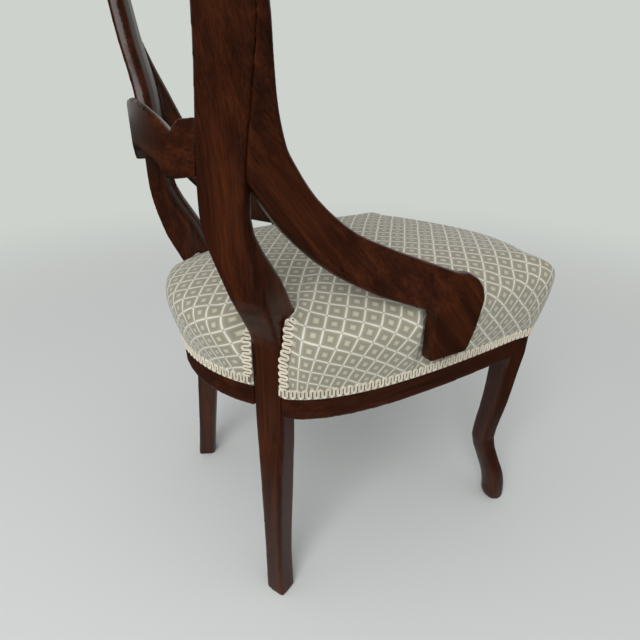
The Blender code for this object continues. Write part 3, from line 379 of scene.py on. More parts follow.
# %% What shapes each column
POST_OUTER, POST_INNER = (175 * MM, 175 * MM), (127 * MM, 192 * MM)  # edges of a post, in plan
POST_SPAN, POST_FROM_Y = (127 * MM, 175.5 * MM), 170 * MM  # columns in here lie at a post
POST_INSET, INSET_FROM, INSET_OVER = 17 * MM, 1.5 * MM, 5 * MM  # at a post the net runs inside the wood
TUCK_LENGTH, PULL_LENGTH = 34 * MM, 40 * MM  # beside a post, the swell grows and the pull fades over these
SIDE_X, FLANK_X = 150 * MM, 120 * MM  # further out lie the sides, without and with their corners
FOOT_MIDDLE_Y, FOOT_HALF, FOOT_FADE = -34.5 * MM, 31 * MM, 9 * MM  # foot of a hip brace
HEEL_BULGE, HEEL_BULGE_AT, HEEL_BULGE_WIDE = 5 * MM, 16 * MM, 20 * MM  # the cloth swells beside the foot
RAIL_MIDDLE_Y, RAIL_REACH = -16.5 * MM, 197 * MM  # middle of a side rail, and from there to its ends
REAR_DROP, SIDE_DROP = 4 * MM, 4 * MM
WORN_DROP, WORN_AT, WORN_WIDE = 31 * MM, (0.215, -0.235), 0.21  # one front corner has sunk with use
FRONT_RISE, FRONT_HALF, FRONT_Y = 5 * MM, 200 * MM, -200 * MM  # the front edge is fullest in its middle


def ease(share):
    """A soft step from 0 to 1."""
    share = np.clip(share, 0, 1)
    return share * share * (3 - 2 * share)


plan_x, plan_y = abs(columns[:, 0]), columns[:, 1]
between_posts = (plan_y > POST_FROM_Y) & (plan_x > POST_SPAN[0]) & (plan_x < POST_SPAN[1])
post_edges = [(side * x, y) for side in (-1, 1) for x, y in (POST_OUTER, POST_INNER)]
from_post = np.min([np.linalg.norm(columns - e, axis=1) for e in post_edges], axis=0)
tuck = np.where(between_posts, 0.0, ease(from_post / TUCK_LENGTH))
pull = np.where(between_posts, 1.0, 1 - ease(from_post / PULL_LENGTH))
behind = POST_INSET * ease((from_post - INSET_FROM) / INSET_OVER) * between_posts

on_side = plan_x > SIDE_X
from_foot = abs(plan_y - FOOT_MIDDLE_Y) - FOOT_HALF
press = np.exp(-(np.maximum(0, from_foot) / FOOT_FADE)**2) * on_side
heel = HEEL_BULGE * np.exp(-((from_foot - HEEL_BULGE_AT) / HEEL_BULGE_WIDE)**2) * on_side
fullness = tuck * (1 - press)

along_rail = (plan_y - RAIL_MIDDLE_Y) / RAIL_REACH
fall = REAR_DROP * np.clip(along_rail, 0, 1)**2
fall += SIDE_DROP * np.maximum(0, 1 - along_rail**2) * (plan_x > FLANK_X)
fall += WORN_DROP * np.exp(-(np.linalg.norm(columns - WORN_AT, axis=1) / WORN_WIDE)**2)
fall -= FRONT_RISE * np.maximum(0, 1 - (plan_x / FRONT_HALF)**4) * (plan_y < FRONT_Y)
print("columns behind the posts:", int(between_posts.sum()))

# %% [markdown]
# Each height of the profile then gives one ring of points. The ring also keeps where its points lie
# on the flat cloth: the top's edge, and from there straight out, as far as the wall is long.

# %% Wall of the cover
WALL = np.array([
    # out from the rail and up from the floor in millimetres, and share of the column's fall
    (0.0, 332.0, 0.0), (0.3, 339.0, 0.0), (1.2, 346.0, 0.05), (6.0, 360.0, 0.2), (11.0, 379.0, 0.5),
    (14.5, 399.0, 0.7), (16.0, 415.0, 0.85), (14.0, 427.0, 0.95), (8.5, 434.6, 1.0), (0.5, 438.6, 1.0),
    (-9.0, 441.4, 1.0)])
WALL_STEPS = 24
SHARE_SCALE = 1e-6  # keeps the shares out of the lengths along the profile
TACKED_OUT = 1 * MM  # the part of the swell that stays where the cloth is drawn in
PULL_IN, PULL_FROM, PULL_FULL = 14 * MM, 384 * MM, 424 * MM  # how far in, growing between two heights
SEAT_TILT = 0.034  # the seat rises towards the front, by so much on each metre
TILT_FROM, TILT_FULL = 345 * MM, 428 * MM
LAY_STEPS = 14  # evens out the way the cloth turns down at the corners

wall = even(rounded(WALL * (MM, MM, SHARE_SCALE), False), WALL_STEPS) / (1, 1, SHARE_SCALE)
widest = wall[:, 0].max()
lay = outward.copy()
for _ in range(LAY_STEPS):
    lay = 0.5 * lay + 0.25 * (np.roll(lay, 1, 0) + np.roll(lay, -1, 0))
lay = unit(lay)
rim = columns + outward * wall[-1, 0]
net, drape = [], []
for (out, height, drop), length in zip(wall, measure(wall[::-1, :2])[::-1]):
    tacked = min(out, TACKED_OUT)
    share = (out - tacked) / (widest - TACKED_OUT)
    swell = tacked + (out - tacked) * fullness + heel * share * fullness
    swell -= PULL_IN * pull * ease((height - PULL_FROM) / (PULL_FULL - PULL_FROM))
    plan = columns + outward * (swell - behind)[:, None]
    tilt = SEAT_TILT * (plan[:, 1] - MIDDLE_Y) * ease((height - TILT_FROM) / (TILT_FULL - TILT_FROM))
    net.append(np.column_stack([plan, height - drop * fall - tilt]))
    drape.append(rim + lay * length)
print("swell of the wall:", round(widest / MM, 1), "mm")

# %% [markdown]
# The top is a patch of squares inside the rim of the wall. It is laid out as flat cloth, shifted where
# its edge is drawn in, and raised to a dome that falls with the wall at its edge.

# %% Top of the cover
CROWN_RISE, CROWN_ROUND = 17 * MM, 0.75
FALL_POWER = 4  # the higher, the nearer to the edge the fall of the wall is felt
FOLLOW_LENGTH, NEAR_LENGTH = 50 * MM, 18 * MM  # over which the top follows where its edge is drawn in


def filled(border):
    """A patch of points inside a closed border in plan, blended from its four sides."""
    front, left = border[:COLUMNS_ACROSS + 1], border[COLUMNS_ACROSS:REAR_LEFT + 1]
    rear, right = border[REAR_LEFT:REAR_RIGHT + 1][::-1], np.vstack([border[REAR_RIGHT:], border[:1]])[::-1]
    s = np.linspace(0, 1, COLUMNS_ACROSS + 1)[:, None, None]
    t = np.linspace(0, 1, COLUMNS_DEEP + 1)[None, :, None]
    at_corners = ((1 - s) * (1 - t) * front[0] + s * (1 - t) * front[-1]
                  + (1 - s) * t * rear[0] + s * t * rear[-1])
    return (1 - t) * front[:, None] + t * rear[:, None] + (1 - s) * right[None] + s * left[None] - at_corners


brim = net[-1][:, :2]
patch_flat = filled(rim)
apart = np.linalg.norm(patch_flat[:, :, None] - rim, axis=3)
follow = np.exp(-(apart.min(2) / FOLLOW_LENGTH)**2)[..., None]
near = np.exp(-((apart - apart.min(2)[..., None]) / NEAR_LENGTH)**2)
patch = patch_flat + near @ (brim - rim) / near.sum(2)[..., None] * follow
turn = np.arctan2(brim[:, 1] - MIDDLE_Y, brim[:, 0])
reach = np.linalg.norm(brim - (0, MIDDLE_Y), axis=1)
patch_turn = np.arctan2(patch[..., 1] - MIDDLE_Y, patch[..., 0])
share = np.linalg.norm(patch - (0, MIDDLE_Y), axis=2) / np.interp(patch_turn, turn, reach, period=math.tau)
dome = wall[-1, 1] + CROWN_RISE * np.maximum(0, 1 - share**2)**CROWN_ROUND
dome -= np.interp(patch_turn, turn, fall, period=math.tau) * share**FALL_POWER
dome -= SEAT_TILT * (patch[..., 1] - MIDDLE_Y)
print("crown:", round(dome.max() / MM), "mm")

# %% [markdown]
# Wall and top become one mesh. The place that each point had on the flat cloth is kept as its UV, in
# metres, for the pattern to be drawn from.

# %% One mesh of wall and top
cover_mesh = bpy.data.meshes.new("seat_upholstery")
build = bmesh.new()
sewn = build.loops.layers.uv.new("drape")
place_of = {}
rings = [[build.verts.new(p) for p in ring] for ring in net]
for ring, flat in zip(rings, drape):
    place_of.update(zip(ring, flat))
for low, high in zip(rings, rings[1:]):
    for i in range(total):
        build.faces.new((low[i], low[(i + 1) % total], high[(i + 1) % total], high[i]))
top = {}
for i in range(COLUMNS_ACROSS + 1):
    top[i, 0] = rings[-1][i]
    top[i, COLUMNS_DEEP] = rings[-1][(REAR_RIGHT - i) % total]
for j in range(COLUMNS_DEEP + 1):
    top[COLUMNS_ACROSS, j] = rings[-1][COLUMNS_ACROSS + j]
    top[0, j] = rings[-1][-j % total]
for i in range(1, COLUMNS_ACROSS):
    for j in range(1, COLUMNS_DEEP):
        top[i, j] = build.verts.new((*patch[i, j], dome[i, j]))
        place_of[top[i, j]] = patch_flat[i, j]
for i in range(COLUMNS_ACROSS):
    for j in range(COLUMNS_DEEP):
        build.faces.new((top[i, j], top[i + 1, j], top[i + 1, j + 1], top[i, j + 1]))
for face in build.faces:
    face.smooth = True
    for loop in face.loops:
        loop[sewn].uv = place_of[loop.vert]
build.to_mesh(cover_mesh)
build.free()
cover = bpy.data.objects.new("seat_upholstery", cover_mesh)
bpy.context.scene.collection.objects.link(cover)
print("cover:", len(cover_mesh.vertices), "points,", len(cover_mesh.polygons), "squares")

# %% [markdown]
# Stuffing pushes the cloth out wherever nothing holds it. A cloth simulation with a little pressure
# does the same: the lower edge is tacked, the cloth beside the posts is held, and the rest fills out.
# The net starts a little small, and no point may travel far, so the seat keeps its size. Cloth over
# stuffing has no sharp ridges, so the travel of each point is evened out with that of its neighbours.

# %% Fill out the cover
START_IN = 1.2 * MM
TRAVEL_OUT, TRAVEL_IN = 4.0 * MM, 0.3 * MM
TACKED_Z, FREE_Z = 350 * MM, 366 * MM
POST_HOLD = 0.9  # how firmly the cloth is held beside a post
PRESSURE = 4.0
STIFFNESS, SHEAR_STIFFNESS = 240.0, 80.0  # a close furnishing cloth hardly stretches
FRAMES = 20
EVEN_OUT = 12


def points_of(mesh):
    flat = np.empty(len(mesh.vertices) * 3)
    mesh.vertices.foreach_get("co", flat)
    return flat.reshape(-1, 3)


def set_points(mesh, points):
    mesh.vertices.foreach_set("co", np.asarray(points, float).ravel())
    mesh.update()


def normals_of(mesh):
    return np.array([v.normal for v in mesh.vertices])


shape = points_of(cover_mesh)
held = np.clip((FREE_Z - shape[:, 2]) / (FREE_Z - TACKED_Z), 0, 1)
wall_points = len(wall) * total
held[:wall_points] = np.maximum(held[:wall_points], np.tile((1 - tuck) * POST_HOLD, len(wall)))
normals = normals_of(cover_mesh)
start = shape - normals * (START_IN * (1 - held))[:, None]
set_points(cover_mesh, start)
group = cover.vertex_groups.new(name="held")
for i, weight in enumerate(held):
    group.add([i], float(weight), "REPLACE")
cloth = cover.modifiers.new("filling", "CLOTH")
cloth.settings.vertex_group_mass = "held"
cloth.settings.use_pressure = True
cloth.settings.uniform_pressure_force = PRESSURE
cloth.settings.tension_stiffness = cloth.settings.compression_stiffness = STIFFNESS
cloth.settings.shear_stiffness = SHEAR_STIFFNESS
cloth.settings.effector_weights.gravity = 0
cloth.point_cache.frame_start, cloth.point_cache.frame_end = 1, FRAMES
for number in range(1, FRAMES + 1):
    bpy.context.scene.frame_set(number)
pushed = points_of(cover.evaluated_get(bpy.context.evaluated_depsgraph_get()).to_mesh())
cover.modifiers.clear()
cover.vertex_groups.clear()
bpy.context.scene.frame_set(1)
travel = np.clip(np.sum((pushed - start) * normals, axis=1), -TRAVEL_IN, TRAVEL_OUT)
print("cloth moved by", np.round(np.percentile(travel, (5, 50, 95)) / MM, 1), "mm")
ends = np.array([e.vertices for e in cover_mesh.edges])
neighbours = np.bincount(ends.ravel(), minlength=len(shape))
for _ in range(EVEN_OUT):
    around = np.bincount(ends[:, 0], travel[ends[:, 1]], len(shape))
    around += np.bincount(ends[:, 1], travel[ends[:, 0]], len(shape))
    travel = np.where(held < 1, 0.5 * travel + 0.5 * around / neighbours, travel)
shape = start + normals * travel[:, None]
set_points(cover_mesh, shape)

# %% [markdown]
# The cover has to stay off the wood. Points that come too near a hip brace are moved back to a small
# clearance, and then the two posts, made a hair thicker, are cut out of the cloth.

# %% Fit it to the wood
CLEARANCE = 0.6 * MM
CLOTH_THICK = 2.0 * MM
SEARCH = 20 * MM  # wood further off than this is no concern of a point


def surface_of(node):
    mesh = nodes[node].data
    return BVHTree.FromPolygons([v.co for v in mesh.vertices], [p.vertices for p in mesh.polygons])


def keep_off(points, names, gap):
    """Moves the points that lie in a piece of wood, or too near it, back out of it."""
    points = np.array(points)
    moved = 0
    for name in names:
        wood = surface_of(name)
        for i, spot in enumerate(points):
            hit, normal, _, _ = wood.find_nearest(Vector(spot), SEARCH)
            if hit is not None and (Vector(spot) - hit).dot(normal) < gap:
                points[i] = hit + normal * gap
                moved += 1
    print("points moved off the wood:", moved)
    return points


shape = keep_off(shape, ("hip_brace_right", "hip_brace_left"), CLEARANCE)
set_points(cover_mesh, shape)
wall_shape, wall_normals = (rows[:wall_points].reshape(len(wall), total, 3)
                            for rows in (shape, normals_of(cover_mesh)))


def thicker(node, grow):
    """A closed copy of a node, a little larger all round, to cut with."""
    shell = bmesh.new()
    shell.from_mesh(nodes[node].data)
    bmesh.ops.remove_doubles(shell, verts=shell.verts, dist=WELD)
    shell.normal_update()
    for vert in shell.verts:
        vert.co += vert.normal * grow
    mesh = bpy.data.meshes.new("cutter_" + node)
    shell.to_mesh(mesh)
    shell.free()
    return bpy.data.objects.new("cutter_" + node, mesh)


def settle(piece):
    """Applies all the modifiers of a piece."""
    bpy.context.view_layer.update()
    final = bpy.data.meshes.new_from_object(piece.evaluated_get(bpy.context.evaluated_depsgraph_get()))
    piece.modifiers.clear()
    piece.data = final


thickness = cover.modifiers.new("cloth", "SOLIDIFY")
thickness.thickness = CLOTH_THICK
thickness.offset = -1.0
cutters = [thicker("rear_post_" + label, CLEARANCE) for label in ("right", "left")]
for cutter in cutters:
    bpy.context.scene.collection.objects.link(cutter)
    notch = cover.modifiers.new(cutter.name, "BOOLEAN")
    notch.object = cutter
    notch.solver = "EXACT"
    notch.use_self = True
settle(cover)
for cutter in cutters:
    bpy.data.objects.remove(cutter)
for polygon in cover.data.polygons:
    polygon.use_smooth = True
print("cover after cutting:", len(cover.data.polygons), "faces")

# %% [markdown]
# ## Trellis cloth
# The cover is a woven furnishing cloth: cream lines cross on the bias, and each square holds a
# smaller pale square on grey-green. It is drawn on the flat cloth, through the UV, and drifts a little
# as hand-laid cloth does. The lines stop short of each crossing, as the floating threads do.

# %% Trellis cloth
SQUARE_MM = 21.5
LINE_MM = 2.2
CENTRE_MM = 6.4
THREAD_MM = 1.1  # real threads are half as wide; drawn coarser so that they show
EDGE, CENTRE_EDGE = 0.03, 0.07  # softness of an edge, as a share of a square
BIAS = 38.5  # degrees from the chair's front to the lines
DRIFT_MM, DRIFT_LONG_MM = 4, 60  # how far the pattern drifts, and over what length
GROUND_DARK, GROUND, GROUND_LIGHT = "#878371", "#938f7d", "#9d9988"
CENTRE_PALE, LINE_CREAM = "#b9b5a2", "#d9d6c9"
WAVE = math.tau / 20  # length of one wave of the wave texture, at a scale of 1


def weave(tree, place, thread_mm, wander):
    """Threads of a width along x and along y, highest where two of them cross."""
    warp, weft = (add(tree, "ShaderNodeTexWave", {"Vector": place, "Scale": WAVE / (thread_mm * MM),
                                                  "Distortion": wander}, bands_direction=d).outputs[1]
                  for d in "XY")
    return add(tree, "ShaderNodeMath", {0: warp, 1: weft}, operation="MULTIPLY").outputs[0]


trellis, tree, shader = finish_of("trellis_weave", IOR=1.45, Sheen_Weight=0.25, Sheen_Roughness=0.45)
flat = add(tree, "ShaderNodeUVMap", uv_map="drape").outputs[0]
drift = add(tree, "ShaderNodeTexNoise", {"Vector": flat, "Scale": 1 / (DRIFT_LONG_MM * MM),
                                         "Detail": 1.0}).outputs[1]
drift = add(tree, "ShaderNodeVectorMath", {0: drift, 1: (0.5, 0.5, 0.5)}, operation="SUBTRACT").outputs[0]
drift = add(tree, "ShaderNodeVectorMath", {0: drift, "Scale": DRIFT_MM * MM}, operation="SCALE").outputs[0]
pulled = add(tree, "ShaderNodeVectorMath", {0: flat, 1: drift}).outputs[0]
bias = add(tree, "ShaderNodeMapping", {"Vector": pulled, "Rotation": (0, 0, math.radians(BIAS)),
                                       "Scale": (1 / (SQUARE_MM * MM),) * 3}).outputs[0]
across = add(tree, "ShaderNodeSeparateXYZ", {0: bias})
line = 0.5 - LINE_MM / SQUARE_MM / 2
from_centre, on_line = [], []
for axis in (0, 1):
    part = add(tree, "ShaderNodeMath", {0: across.outputs[axis]}, operation="FRACT").outputs[0]
    part = add(tree, "ShaderNodeMath", {0: part, 1: 0.5}, operation="SUBTRACT").outputs[0]
    part = add(tree, "ShaderNodeMath", {0: part}, operation="ABSOLUTE").outputs[0]
    from_centre.append(part)
    on_line.append(add(tree, "ShaderNodeMapRange", {0: part, 1: line - EDGE, 2: line + EDGE}).outputs[0])
either = add(tree, "ShaderNodeMath", {0: on_line[0], 1: on_line[1]}, operation="MAXIMUM").outputs[0]
both = add(tree, "ShaderNodeMath", {0: on_line[0], 1: on_line[1]}, operation="MULTIPLY").outputs[0]
lines = add(tree, "ShaderNodeMath", {0: either, 1: both}, operation="SUBTRACT").outputs[0]
square = add(tree, "ShaderNodeMath", {0: from_centre[0], 1: from_centre[1]}, operation="MAXIMUM").outputs[0]
half = CENTRE_MM / SQUARE_MM / 2
centre = add(tree, "ShaderNodeMapRange",
             {0: square, 1: half + CENTRE_EDGE, 2: half - CENTRE_EDGE}).outputs[0]
figure = add(tree, "ShaderNodeValToRGB", {0: square},
             [(0.20, GROUND_DARK), (0.46, GROUND_LIGHT), (0.33, GROUND)]).outputs[0]
for mask, tone in ((centre, CENTRE_PALE), (lines, LINE_CREAM)):
    figure = add(tree, "ShaderNodeMix", {0: mask, 6: figure, 7: linear(tone)}, data_type="RGBA").outputs[2]
threads = weave(tree, flat, THREAD_MM, wander=0.6)
shade = add(tree, "ShaderNodeMapRange", {0: threads, 3: 0.9, 4: 1.06}).outputs[0]
colour = add(tree, "ShaderNodeVectorMath", {0: figure, "Scale": shade}, operation="SCALE").outputs[0]
tree.links.new(colour, shader.inputs["Base Color"])
dull = add(tree, "ShaderNodeMapRange", {0: lines, 3: 0.88, 4: 0.5}).outputs[0]
tree.links.new(dull, shader.inputs["Roughness"])
raised = add(tree, "ShaderNodeMath", {0: lines, 1: threads}, operation="ADD").outputs[0]
bump = add(tree, "ShaderNodeBump", {"Strength": 0.35, "Distance": RELIEF, "Height": raised})
tree.links.new(bump.outputs[0], shader.inputs["Normal"])
cover.data.materials.clear()
cover.data.materials.append(trellis)
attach(cover, "root")
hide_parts("seat_cover", "seat_stuffing")
print("trellis squares:", SQUARE_MM, "mm")

# %% [markdown]
# ## Gimp braid
# A narrow braid hides the tacks. Two cotton cords lie side by side and wind up and down over a thin
# tape, with round turns. A flat strip with a picture of loops would look dead from the side, so the
# cords are curves with a round section, and the tape is coloured dark between them as painted shade.
# Twisted cotton is soft and matt, in a cream that has gone a little uneven with age, and it is drawn
# darker in the hollows of its twist as painted shade.

# %% Twisted cotton
PLY_MM, AGE_MM = 0.9, 35  # size of the twist, and of the patches that have yellowed


def cotton(name, dark, light):
    """Soft twisted cotton, from dark in the hollows of its twist, as painted shade, to light on its plies,
    and uneven where it has yellowed.
    """
    material, tree, shader = finish_of(name, IOR=1.45, Roughness=0.85, Sheen_Weight=0.2)
    place = add(tree, "ShaderNodeTexCoord").outputs["Object"]
    plies, age = (add(tree, "ShaderNodeTexNoise", {"Vector": place, "Scale": 1 / (size * MM), "Detail": 2.0})
                  .outputs[0] for size in (PLY_MM, AGE_MM))
    blend = add(tree, "ShaderNodeMix", {0: 0.45, 2: plies, 3: age}).outputs[0]
    # darker where the plies are low: painted shade in the hollows, mixed with the yellowed patches
    tone = add(tree, "ShaderNodeValToRGB", {0: blend}, [(0.32, dark), (0.66, light)]).outputs[0]
    tree.links.new(tone, shader.inputs["Base Color"])
    bump = add(tree, "ShaderNodeBump", {"Strength": 0.5, "Distance": RELIEF, "Height": plies})
    tree.links.new(bump.outputs[0], shader.inputs["Normal"])
    return material


cord_cotton = cotton("cotton_cord", "#b9b09c", "#ddd6c6")
# the tape is coloured dark as painted shade between the cords
painted_shade_tape = cotton("tape_painted_shade", "#5f5748", "#7b7260")
print("cotton:", cord_cotton.name, painted_shade_tape.name)

# %% [markdown]
# A braid is drawn flat first, as a meander with straight legs and round turns. Each of its points is
# then carried to a path on the cover, which gives a place, a way out and a way across.

# %% Cords and tape along a path
PERIOD = 9.4 * MM
CORD_RADIUS, CORDS = 0.8 * MM, 2
BRAID_HALF = 7.0 * MM
LEG_STEPS, ARC_STEPS = 2, 6
TAPE_HALF, TAPE_THICK, TAPE_FOOT = 6.2 * MM, 0.7 * MM, 0.1  # its underside, in thicknesses above the path
KNOT_RADIUS, KNOT_EYE = 4.3 * MM, 0.35  # a knot starts with so much of its radius
KNOT_TURNS, KNOT_STEPS = 2.1, 40
KNOT_BACK, KNOT_LIFT = 1.5 * MM, 2.6  # from the end of the braid, and cord radii over the tape


def meander(length):
    """The line that the cords follow on a flat tape, up and down with round turns, and the way across it."""
    halves = 2 * max(2, round(length / PERIOD))
    radius = length / halves / 2
    leg = BRAID_HALF - CORDS * CORD_RADIUS - radius
    rise = np.linspace(-leg, leg, LEG_STEPS, endpoint=False)
    angle = np.linspace(0, math.pi, ARC_STEPS, endpoint=False)
    bend = np.concatenate([np.stack([0 * rise, rise], 1),
                           np.stack([radius - radius * np.cos(angle), leg + radius * np.sin(angle)], 1)])
    line = np.vstack([bend * (1, (-1)**k) + (2 * radius * k, 0) for k in range(halves)])
    way = unit(np.gradient(line, axis=0))
    return line, np.stack([-way[:, 1], way[:, 0]], 1)


def cords_on(name, path, normals, ups, knot):
    """The cords of a braid, side by side, and a coiled knot at its end if it has one."""
    run = measure(path)
    line, aside = meander(run[-1])
    cords = [(line + aside * (2 * k - CORDS + 1) * CORD_RADIUS, 1.0) for k in range(CORDS)]
    if knot:
        curl = np.linspace(0, KNOT_TURNS * math.tau, KNOT_STEPS)
        size = KNOT_RADIUS * (KNOT_EYE + (1 - KNOT_EYE) * curl / curl[-1])
        coil = np.stack([run[-1] - KNOT_BACK + size * np.cos(curl), size * np.sin(curl)], 1)
        cords.append((coil, KNOT_LIFT))
    curve = bpy.data.curves.new(name, "CURVE")
    curve.dimensions = "3D"
    curve.bevel_depth = CORD_RADIUS
    curve.bevel_resolution = 1
    curve.use_fill_caps = True
    for cord, lift in cords:
        place = np.clip(cord[:, 0], 0, run[-1])
        over = TAPE_THICK + CORD_RADIUS * lift
        spots = (along_line(path, run, place) + along_line(normals, run, place) * over
                 + along_line(ups, run, place) * cord[:, 1:])
        spline = curve.splines.new("POLY")
        spline.points.add(len(spots) - 1)
        spline.points.foreach_set("co", np.column_stack([spots, np.ones(len(spots))]).ravel())
    curve.materials.append(cord_cotton)
    return bpy.data.objects.new(name, curve)


def tape_under(name, path, normals, ups):
    """The thin tape that the cords of a braid are sewn to, coloured dark as painted shade between them."""
    section = [(TAPE_HALF, TAPE_FOOT), (TAPE_HALF, 1.0), (-TAPE_HALF, 1.0), (-TAPE_HALF, TAPE_FOOT)]
    tape = bmesh.new()
    rows = [[tape.verts.new(spot + rise * a + normal * (b * TAPE_THICK)) for a, b in section]
            for spot, normal, rise in zip(path, normals, ups)]
    for one, two in zip(rows, rows[1:]):
        for k in range(4):
            tape.faces.new((one[k], one[(k + 1) % 4], two[(k + 1) % 4], two[k]))
    tape.faces.new(rows[0][::-1])
    tape.faces.new(rows[-1])
    bmesh.ops.recalc_face_normals(tape, faces=tape.faces)
    mesh = bpy.data.meshes.new(name)
    tape.to_mesh(mesh)
    tape.free()
    # the tape's dark colour is painted shade between the cords
    mesh.materials.append(painted_shade_tape)
    return bpy.data.objects.new(name, mesh)


def braid(name, path, normals, ups, replaced=None, knot=False):
    """Cords that wind along a tape, on a path over the cover."""
    gimp = cords_on(name, path, normals, ups, knot)
    for piece in (gimp, tape_under(name + "_tape", path, normals, ups)):
        bpy.context.scene.collection.objects.link(piece)
        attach(piece, "root")
    if replaced:
        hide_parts(replaced)
    print(name, "length", round(measure(path)[-1] / MM), "mm")


print("braid:", round(2 * BRAID_HALF / MM, 1), "mm wide, a bend up and down in", round(PERIOD / MM, 1), "mm")

# %% [markdown]
# The braid runs along the rails from post to post, round the front and across the back. Its paths are
# the columns of the cover that lie clear of the posts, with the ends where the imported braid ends.

# %% Braid along the rails
BRAID_Z = 340.5 * MM
round_front = [i % total for i in range(REAR_RIGHT, total + REAR_LEFT + 1) if not between_posts[i % total]]
across_back = [i for i in range(REAR_LEFT, REAR_RIGHT + 1) if not between_posts[i]]


def end_spot(node, side):
    """Where a braid of the frame meets a post."""
    spots = [p for p in inner_edge(node) if p[0] * side > 0]
    return max(spots, key=lambda p: p[1] if node == "braid_front" else abs(p[0]))


for name, order, sides_met in (("braid_front", round_front, (-1, 1)), ("braid_rear", across_back, (1, -1))):
    plan = [end_spot(name, sides_met[0])] + [columns[i] for i in order] + [end_spot(name, sides_met[1])]
    facing = [outward[order[0]]] + [outward[i] for i in order] + [outward[order[-1]]]
    path = np.array([(*p, BRAID_Z) for p in plan])
    normals = np.array([(*n, 0.0) for n in facing])
    ups = np.tile((0.0, 0.0, 1.0), (len(path), 1))
    braid("gimp_" + name.removeprefix("braid_"), path, normals, ups, replaced=name)

# %% [markdown]
# Short lengths also climb beside each post, where the cloth was cut, and end in a small turned-in
# knot. Their paths are found on the rings of the wall, at an even distance from the wood.

# %% Braid beside the posts
FROM_POST = {"side": 8.0 * MM, "back": 6.4 * MM}
PROUD = 1.0 * MM  # the strip bridges the crease beside the post
CLIMB_FROM = 345 * MM
CLIMB_TO = {"side": 436 * MM, "back": 412 * MM}
CLIMB_COLUMNS, CLIMB_STEPS = 16, 24


def climb(post, start, way, apart, low, high):
    """A path up the cover, at an even distance from a post: its places, its ways out and across."""
    wood = surface_of(post)
    beside = [(start + way * k) % total for k in range(CLIMB_COLUMNS)]
    spots, facing = [], []
    for ring, ring_normals in zip(wall_shape, wall_normals):
        gaps = []
        for i in beside:
            hit, normal, _, far = wood.find_nearest(Vector(ring[i]))
            gaps.append(far if (Vector(ring[i]) - hit).dot(normal) > 0 else -far)
        for a, b, gap_a, gap_b in zip(beside, beside[1:], gaps, gaps[1:]):
            if gap_a < apart <= gap_b:
                part = (apart - gap_a) / (gap_b - gap_a)
                spots.append(ring[a] * (1 - part) + ring[b] * part)
                facing.append(ring_normals[a] * (1 - part) + ring_normals[b] * part)
                break
    spots, facing = np.array(spots), np.array(facing)
    keep = (spots[:, 2] > low) & (spots[:, 2] < high)
    square = np.array((*outward[beside[CLIMB_COLUMNS // 2]], 0.0))
    facing = unit(unit(facing[keep]) + square)
    path = even(np.hstack([spots[keep] + facing * PROUD, facing]), CLIMB_STEPS)
    spots, facing = path[:, :3], path[:, 3:]
    return spots, facing, unit(np.cross(facing, np.gradient(spots, axis=0)))


for label, start, way in (("right_side", REAR_RIGHT, 1), ("right_back", REAR_RIGHT, -1),
                          ("left_side", REAR_LEFT, -1), ("left_back", REAR_LEFT, 1)):
    post, place = label.split("_")
    path = climb("rear_post_" + post, start, way, FROM_POST[place], CLIMB_FROM, CLIMB_TO[place])
    braid("gimp_" + label, *path, knot=True)

# %% [markdown]
# ## Under the seat
# Turned over, the chair shows a black cambric lining, tacked under the rails. Above it are the jute
# webbing that carries the springs and the hessian that covers them. Cambric is a fine, nearly black
# weave with little shine, and jute is coarse, matt and golden brown.

# %% Cambric and jute
SLUB_MM = 12  # length of the thick places in a yarn


def woven(name, dark, light, thread_mm, rough):
    """A plain weave, drawn in plan: threads along x over threads along y."""
    material, tree, shader = finish_of(name, IOR=1.45, Roughness=rough, Sheen_Weight=0.15)
    place = add(tree, "ShaderNodeTexCoord").outputs["Object"]
    threads = weave(tree, place, thread_mm, wander=1.2)
    slub = add(tree, "ShaderNodeTexNoise",
               {"Vector": place, "Scale": 1 / (SLUB_MM * MM), "Detail": 3.0}).outputs[0]
    # darker between the threads as painted shade, and uneven along the slubs of the yarn
    tone = add(tree, "ShaderNodeMix", {0: 0.5, 2: threads, 3: slub}).outputs[0]
    colour = add(tree, "ShaderNodeValToRGB", {0: tone}, [(0.2, dark), (0.75, light)]).outputs[0]
    tree.links.new(colour, shader.inputs["Base Color"])
    bump = add(tree, "ShaderNodeBump", {"Strength": 0.4, "Distance": RELIEF, "Height": threads})
    tree.links.new(bump.outputs[0], shader.inputs["Normal"])
    return material


# Real cambric has threads a quarter as wide; drawn coarser so that they show
cambric = woven("black_cambric_weave", "#0d0d0d", "#242322", thread_mm=1.4, rough=0.8)
jute = woven("jute_weave", "#6f5433", "#a98a5b", thread_mm=2.4, rough=0.95)
print("weaves:", cambric.name, jute.name)

# %% [markdown]
# Each of these is a flat cut of cloth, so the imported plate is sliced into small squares, turned in at
# its ends and given a slight sag.

# %% Cloth under the seat
CUT_STEP = 14 * MM
LAST_CUT = 0.2  # no cut falls nearer to the end than this share of a step
FACING_UP = 0.9
LINING_SAG = 4 * MM
TURNED_IN = {"dust_lining": (0.952, 0.958), "webbing_long": (1.0, 0.965), "webbing_cross": (0.965, 1.0)}


